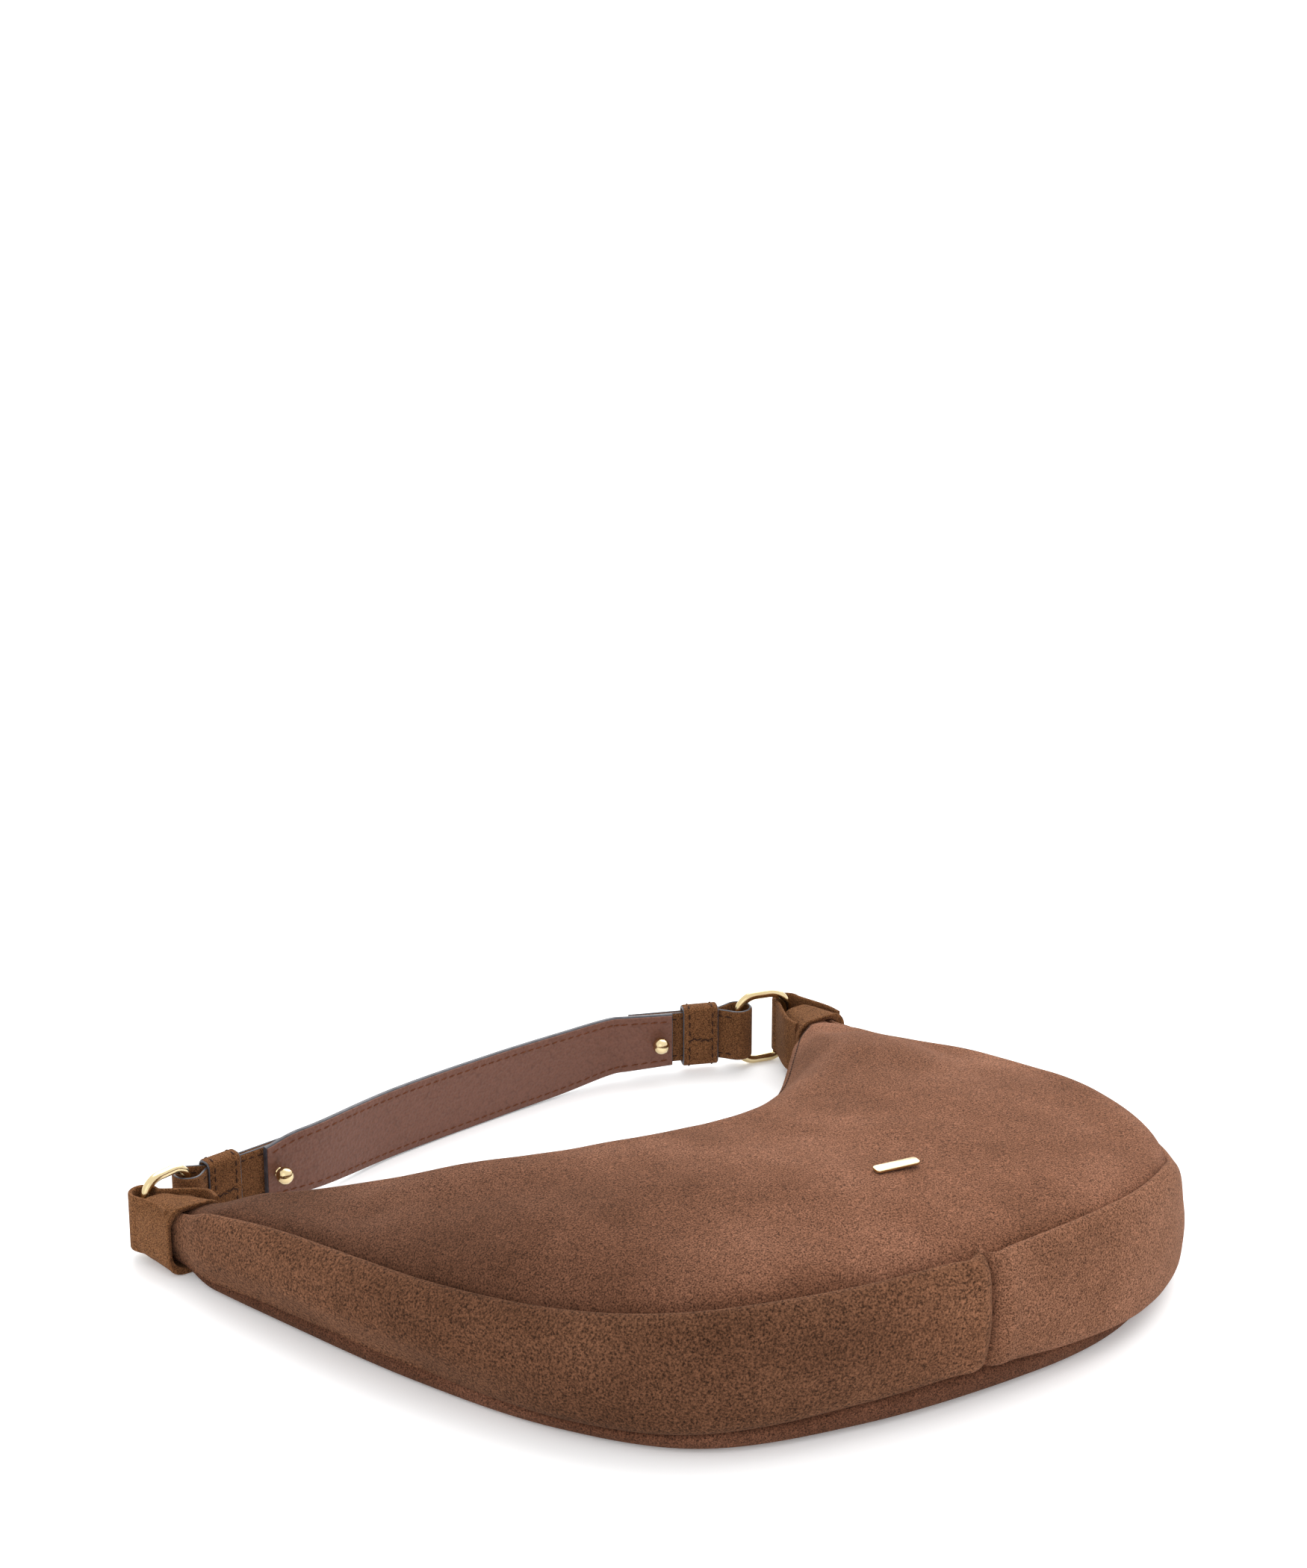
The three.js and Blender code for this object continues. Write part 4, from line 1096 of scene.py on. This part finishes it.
def cuff(side):
    """The sleeve round the tip of the bag: its inside, its rolled rim and its outside, closed at the back."""
    bar, middle = TAB_BAR[side], CUFF_MIDDLE[side]
    body_y = np.linspace(CUFF_MOUTH_Y + 1.5, CUFF_MOUTH_Y + CUFF_LONG, CUFF_ROWS)
    y = np.concatenate([CUFF_MOUTH_Y + np.array(CUFF_RIM_Y), body_y])
    grow = np.concatenate([CUFF_RIM_GROW, np.zeros(CUFF_ROWS)])
    share = np.clip((y - CUFF_MOUTH_Y) / 25, 0, 1)
    half = (TAB_HALF + 1.3) * (1 - share) + (TAB_FOLD + 2.3) * share
    mid_x = middle * (1 - share) + bar[0] * share
    top, low = TAB_TOP - 1.0 - 2.2 * share, 0.4 + 3.4 * share
    shell = []
    for k in range(len(y)):
        tall = top[k] - low[k] + 2 * grow[k]
        section = rounded(2 * (half[k] + grow[k]), tall, CUFF_CORNER, arc=8, rows=10)
        z = (top[k] + low[k]) / 2 + section[:, 1]
        shell.append(np.column_stack([mid_x[k] + section[:, 0], np.full(len(z), y[k]), z]))
    inside = [drawn_in(shell[0], middle, at, kept, kept) for kept, at in CUFF_INSIDE]
    loops = np.array([*inside, *shell, drawn_in(shell[-1], mid_x[-1], y[-1], 0.84, 0.88)])
    n, m = loops.shape[:2]
    here, after, last = np.arange(m), np.roll(np.arange(m), -1), (n - 1) * m
    faces = [*grid_faces(n, m, wrap_v=True), *np.stack([last + here, last + after, after, here], -1)]
    points = loops.reshape(-1, 3)
    points = points + 0.25 * rumple(points, 12, 31)[:, None] * np.array([1, 0.4, 1])
    placed(solid(f"{SIDES[side]}_tab_cuff", points, faces, TRIM_SUEDE, 60), "tabs")


def tab(side):
    """A band of suede folded round the ring's bar, and the cuff that it makes round the tip of the bag."""
    bar, middle = TAB_BAR[side], CUFF_MIDDLE[side]
    turn = np.radians(np.linspace(-8, 188, 21))
    arc = bar + TAB_FOLD * np.stack([np.cos(turn), np.sin(turn)], -1)
    right = [(middle + TAB_HALF, TAB_MOUTH_Y), (middle + TAB_HALF - 0.4, TAB_MOUTH_Y + 7)]
    left = [(middle - TAB_HALF + 0.4, TAB_MOUTH_Y + 7), (middle - TAB_HALF, TAB_MOUTH_Y)]
    line = Line(smooth_through([*right, *arc, *left], 8))
    fold = strip(f"{SIDES[side]}_tab_fold", line, 4.3, 23.4, 1.7, TRIM_SUEDE, steps=120)
    placed(fold, "tabs", f"{SIDES[side]}_tab")
    cuff(side)


# ---- zip slider and name plate ----

BOX_FACES = ((0, 1, 3, 2), (4, 6, 7, 5), (0, 4, 5, 1), (2, 3, 7, 6), (0, 2, 6, 4), (1, 5, 7, 3))
SLIDER_AT = math.radians(37)
PULL_TURN = math.radians(-10)
PLATE_TURN = math.radians(-9)
PLATE_SIZE = (18, 4.8)
# the plate's edge from below to above: share of its outline, height
PLATE_EDGE = [(0.985, -0.5), (1.0, -0.3), (1.0, 0.28), (0.975, 0.45), (0.92, 0.5)]


def turned_plan(points, turn):
    """Points turned in plan about the origin."""
    c, s = math.cos(turn), math.sin(turn)
    x, y, *rest = points.T
    return np.column_stack([c * x - s * y, s * x + c * y, *rest])


def boxes(name, parts, origin, turn, look, bevel):
    """Rounded blocks as one piece: each (centre, size), turned in plan about an origin."""
    ends = (-0.5, 0.5)
    unit = np.array([[x, y, z] for x in ends for y in ends for z in ends])
    points, faces = [], []
    for k, (centre, size) in enumerate(parts):
        points.append(turned_plan(unit * size + centre, turn) + origin)
        faces += [[8 * k + i for i in f] for f in BOX_FACES]
    piece = solid(name, np.vstack(points), faces, look, 40)
    change = piece.modifiers.new("bevel", "BEVEL")
    change.width = bevel * MM
    change.segments = 3
    change.limit_method = "ANGLE"
    return piece


def slider():
    r = MOUTH_R
    body_parts = [
        ((0, -r + 0.55, 0), (11, 1.1, 8.4)), ((0, -r - 3.55, 0), (11, 1.1, 8.4)),
        ((3.5, -r - 1.4, 0), (3, 3.4, 0.5)), ((0, -r + 2.4, 0), (3.2, 2.8, 2.0)),
        ((0, -r + 3.0, 0), (1.5, 1.5, 5.0)),
    ]
    origin = np.array([*MOUTH_C, ZIP_Z])
    piece = boxes("zip_slider_body", body_parts, origin, SLIDER_AT, GOLD, 0.35)
    placed(piece, "zip_slider", "zip_slider")
    pin = MOUTH_C + (r - 3.0) * np.array([math.sin(SLIDER_AT), -math.cos(SLIDER_AT)])
    ear = (4.4, 2.6, 1)
    pull_parts = [((-10.9, 0, 0), (17, 1.4, 5.4)), ((-1, 0, 1.9), ear), ((-1, 0, -1.9), ear)]
    pull = boxes("zip_pull_tab", pull_parts, np.array([*pin, ZIP_Z]), SLIDER_AT + PULL_TURN, GOLD, 0.45)
    placed(pull, "zip_pull", "zip_pull")


def name_plate():
    """A blank gold plate with rounded corners, lying level on the panel."""
    low, high = (np.array(v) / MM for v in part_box("name_plate"))
    outline = rounded(*PLATE_SIZE, 1.5, arc=8)
    rings = []
    for scale, lift in PLATE_EDGE:
        loop = turned_plan(outline - (1 - scale) * np.sign(outline) * 2.5, PLATE_TURN)
        rings.append(deep(loop, lift))
    rings = np.array(rings) + (low + high) / 2 - OFFSET
    faces = tube_faces(*rings.shape[:2])
    piece = solid("name_plate_blank", rings.reshape(-1, 3), faces, GOLD, 30)
    placed(piece, "root", "name_plate")


lining("lining_front_cloth", "lining_front", lambda s, r: front_height(s, r) - 6.2 - 3 * lip(s))
lining("lining_back_cloth", "lining_back", lambda s, r: 7.0 + 0 * r)
mouth_zone()
mouth_stitches()
strap()
for which in SIDES:
    chape(which)
    keeper(which)
    stud(which)
    ring(which)
    tab(which)
slider()
name_plate()

# ---- camera, light and floor ----


def camera():
    data = bpy.data.cameras.new("camera")
    data.lens = 89.14
    data.sensor_width = 36
    data.clip_start = 0.05
    data.clip_end = 50
    eye = bpy.data.objects.new("camera", data)
    eye.location = (-0.7601, -1.0732, 0.6998)
    eye.rotation_euler = (math.radians(69), 0, math.radians(-34.913))
    bpy.context.scene.collection.objects.link(eye)
    bpy.context.scene.camera = eye


def hang(name, data, place, aim):
    """A lamp at a place, shining along a direction."""
    lamp = bpy.data.objects.new(name, data)
    lamp.location = place
    lamp.rotation_euler = Vector(aim).to_track_quat("-Z", "Y").to_euler()
    bpy.context.scene.collection.objects.link(lamp)


def studio():
    world = bpy.data.worlds.new("studio")
    bpy.context.scene.world = world
    world.use_nodes = True
    set_inputs(world.node_tree.nodes["Background"], {"Color": (1, 1, 1, 1), "Strength": 1.15})
    sun = bpy.data.lights.new("key", "SUN")
    sun.energy = 2.5
    sun.angle = math.radians(70)
    hang("key", sun, (0, 0, 0), (-0.75, -0.5, -1))
    fill = bpy.data.lights.new("fill", "AREA")
    fill.shape = "DISK"
    fill.size = 1.4
    fill.energy = 2
    hang("fill", fill, (-1.3, -0.9, 1.1), (1.3, 0.9, -1.07))
    bpy.ops.mesh.primitive_plane_add(size=24, location=(0, 0, 0))
    floor = bpy.context.object
    floor.name = "floor"
    look, _, shader = new_look("floor", roughness=0.8)
    glow = {"Emission Color": (1, 1, 1, 1), "Emission Strength": 0.16}
    set_inputs(shader, {"Base Color": (0.93, 0.93, 0.935, 1), **glow})
    floor.data.materials.append(look)
    bpy.context.scene.view_settings.view_transform = "Standard"


camera()
studio()
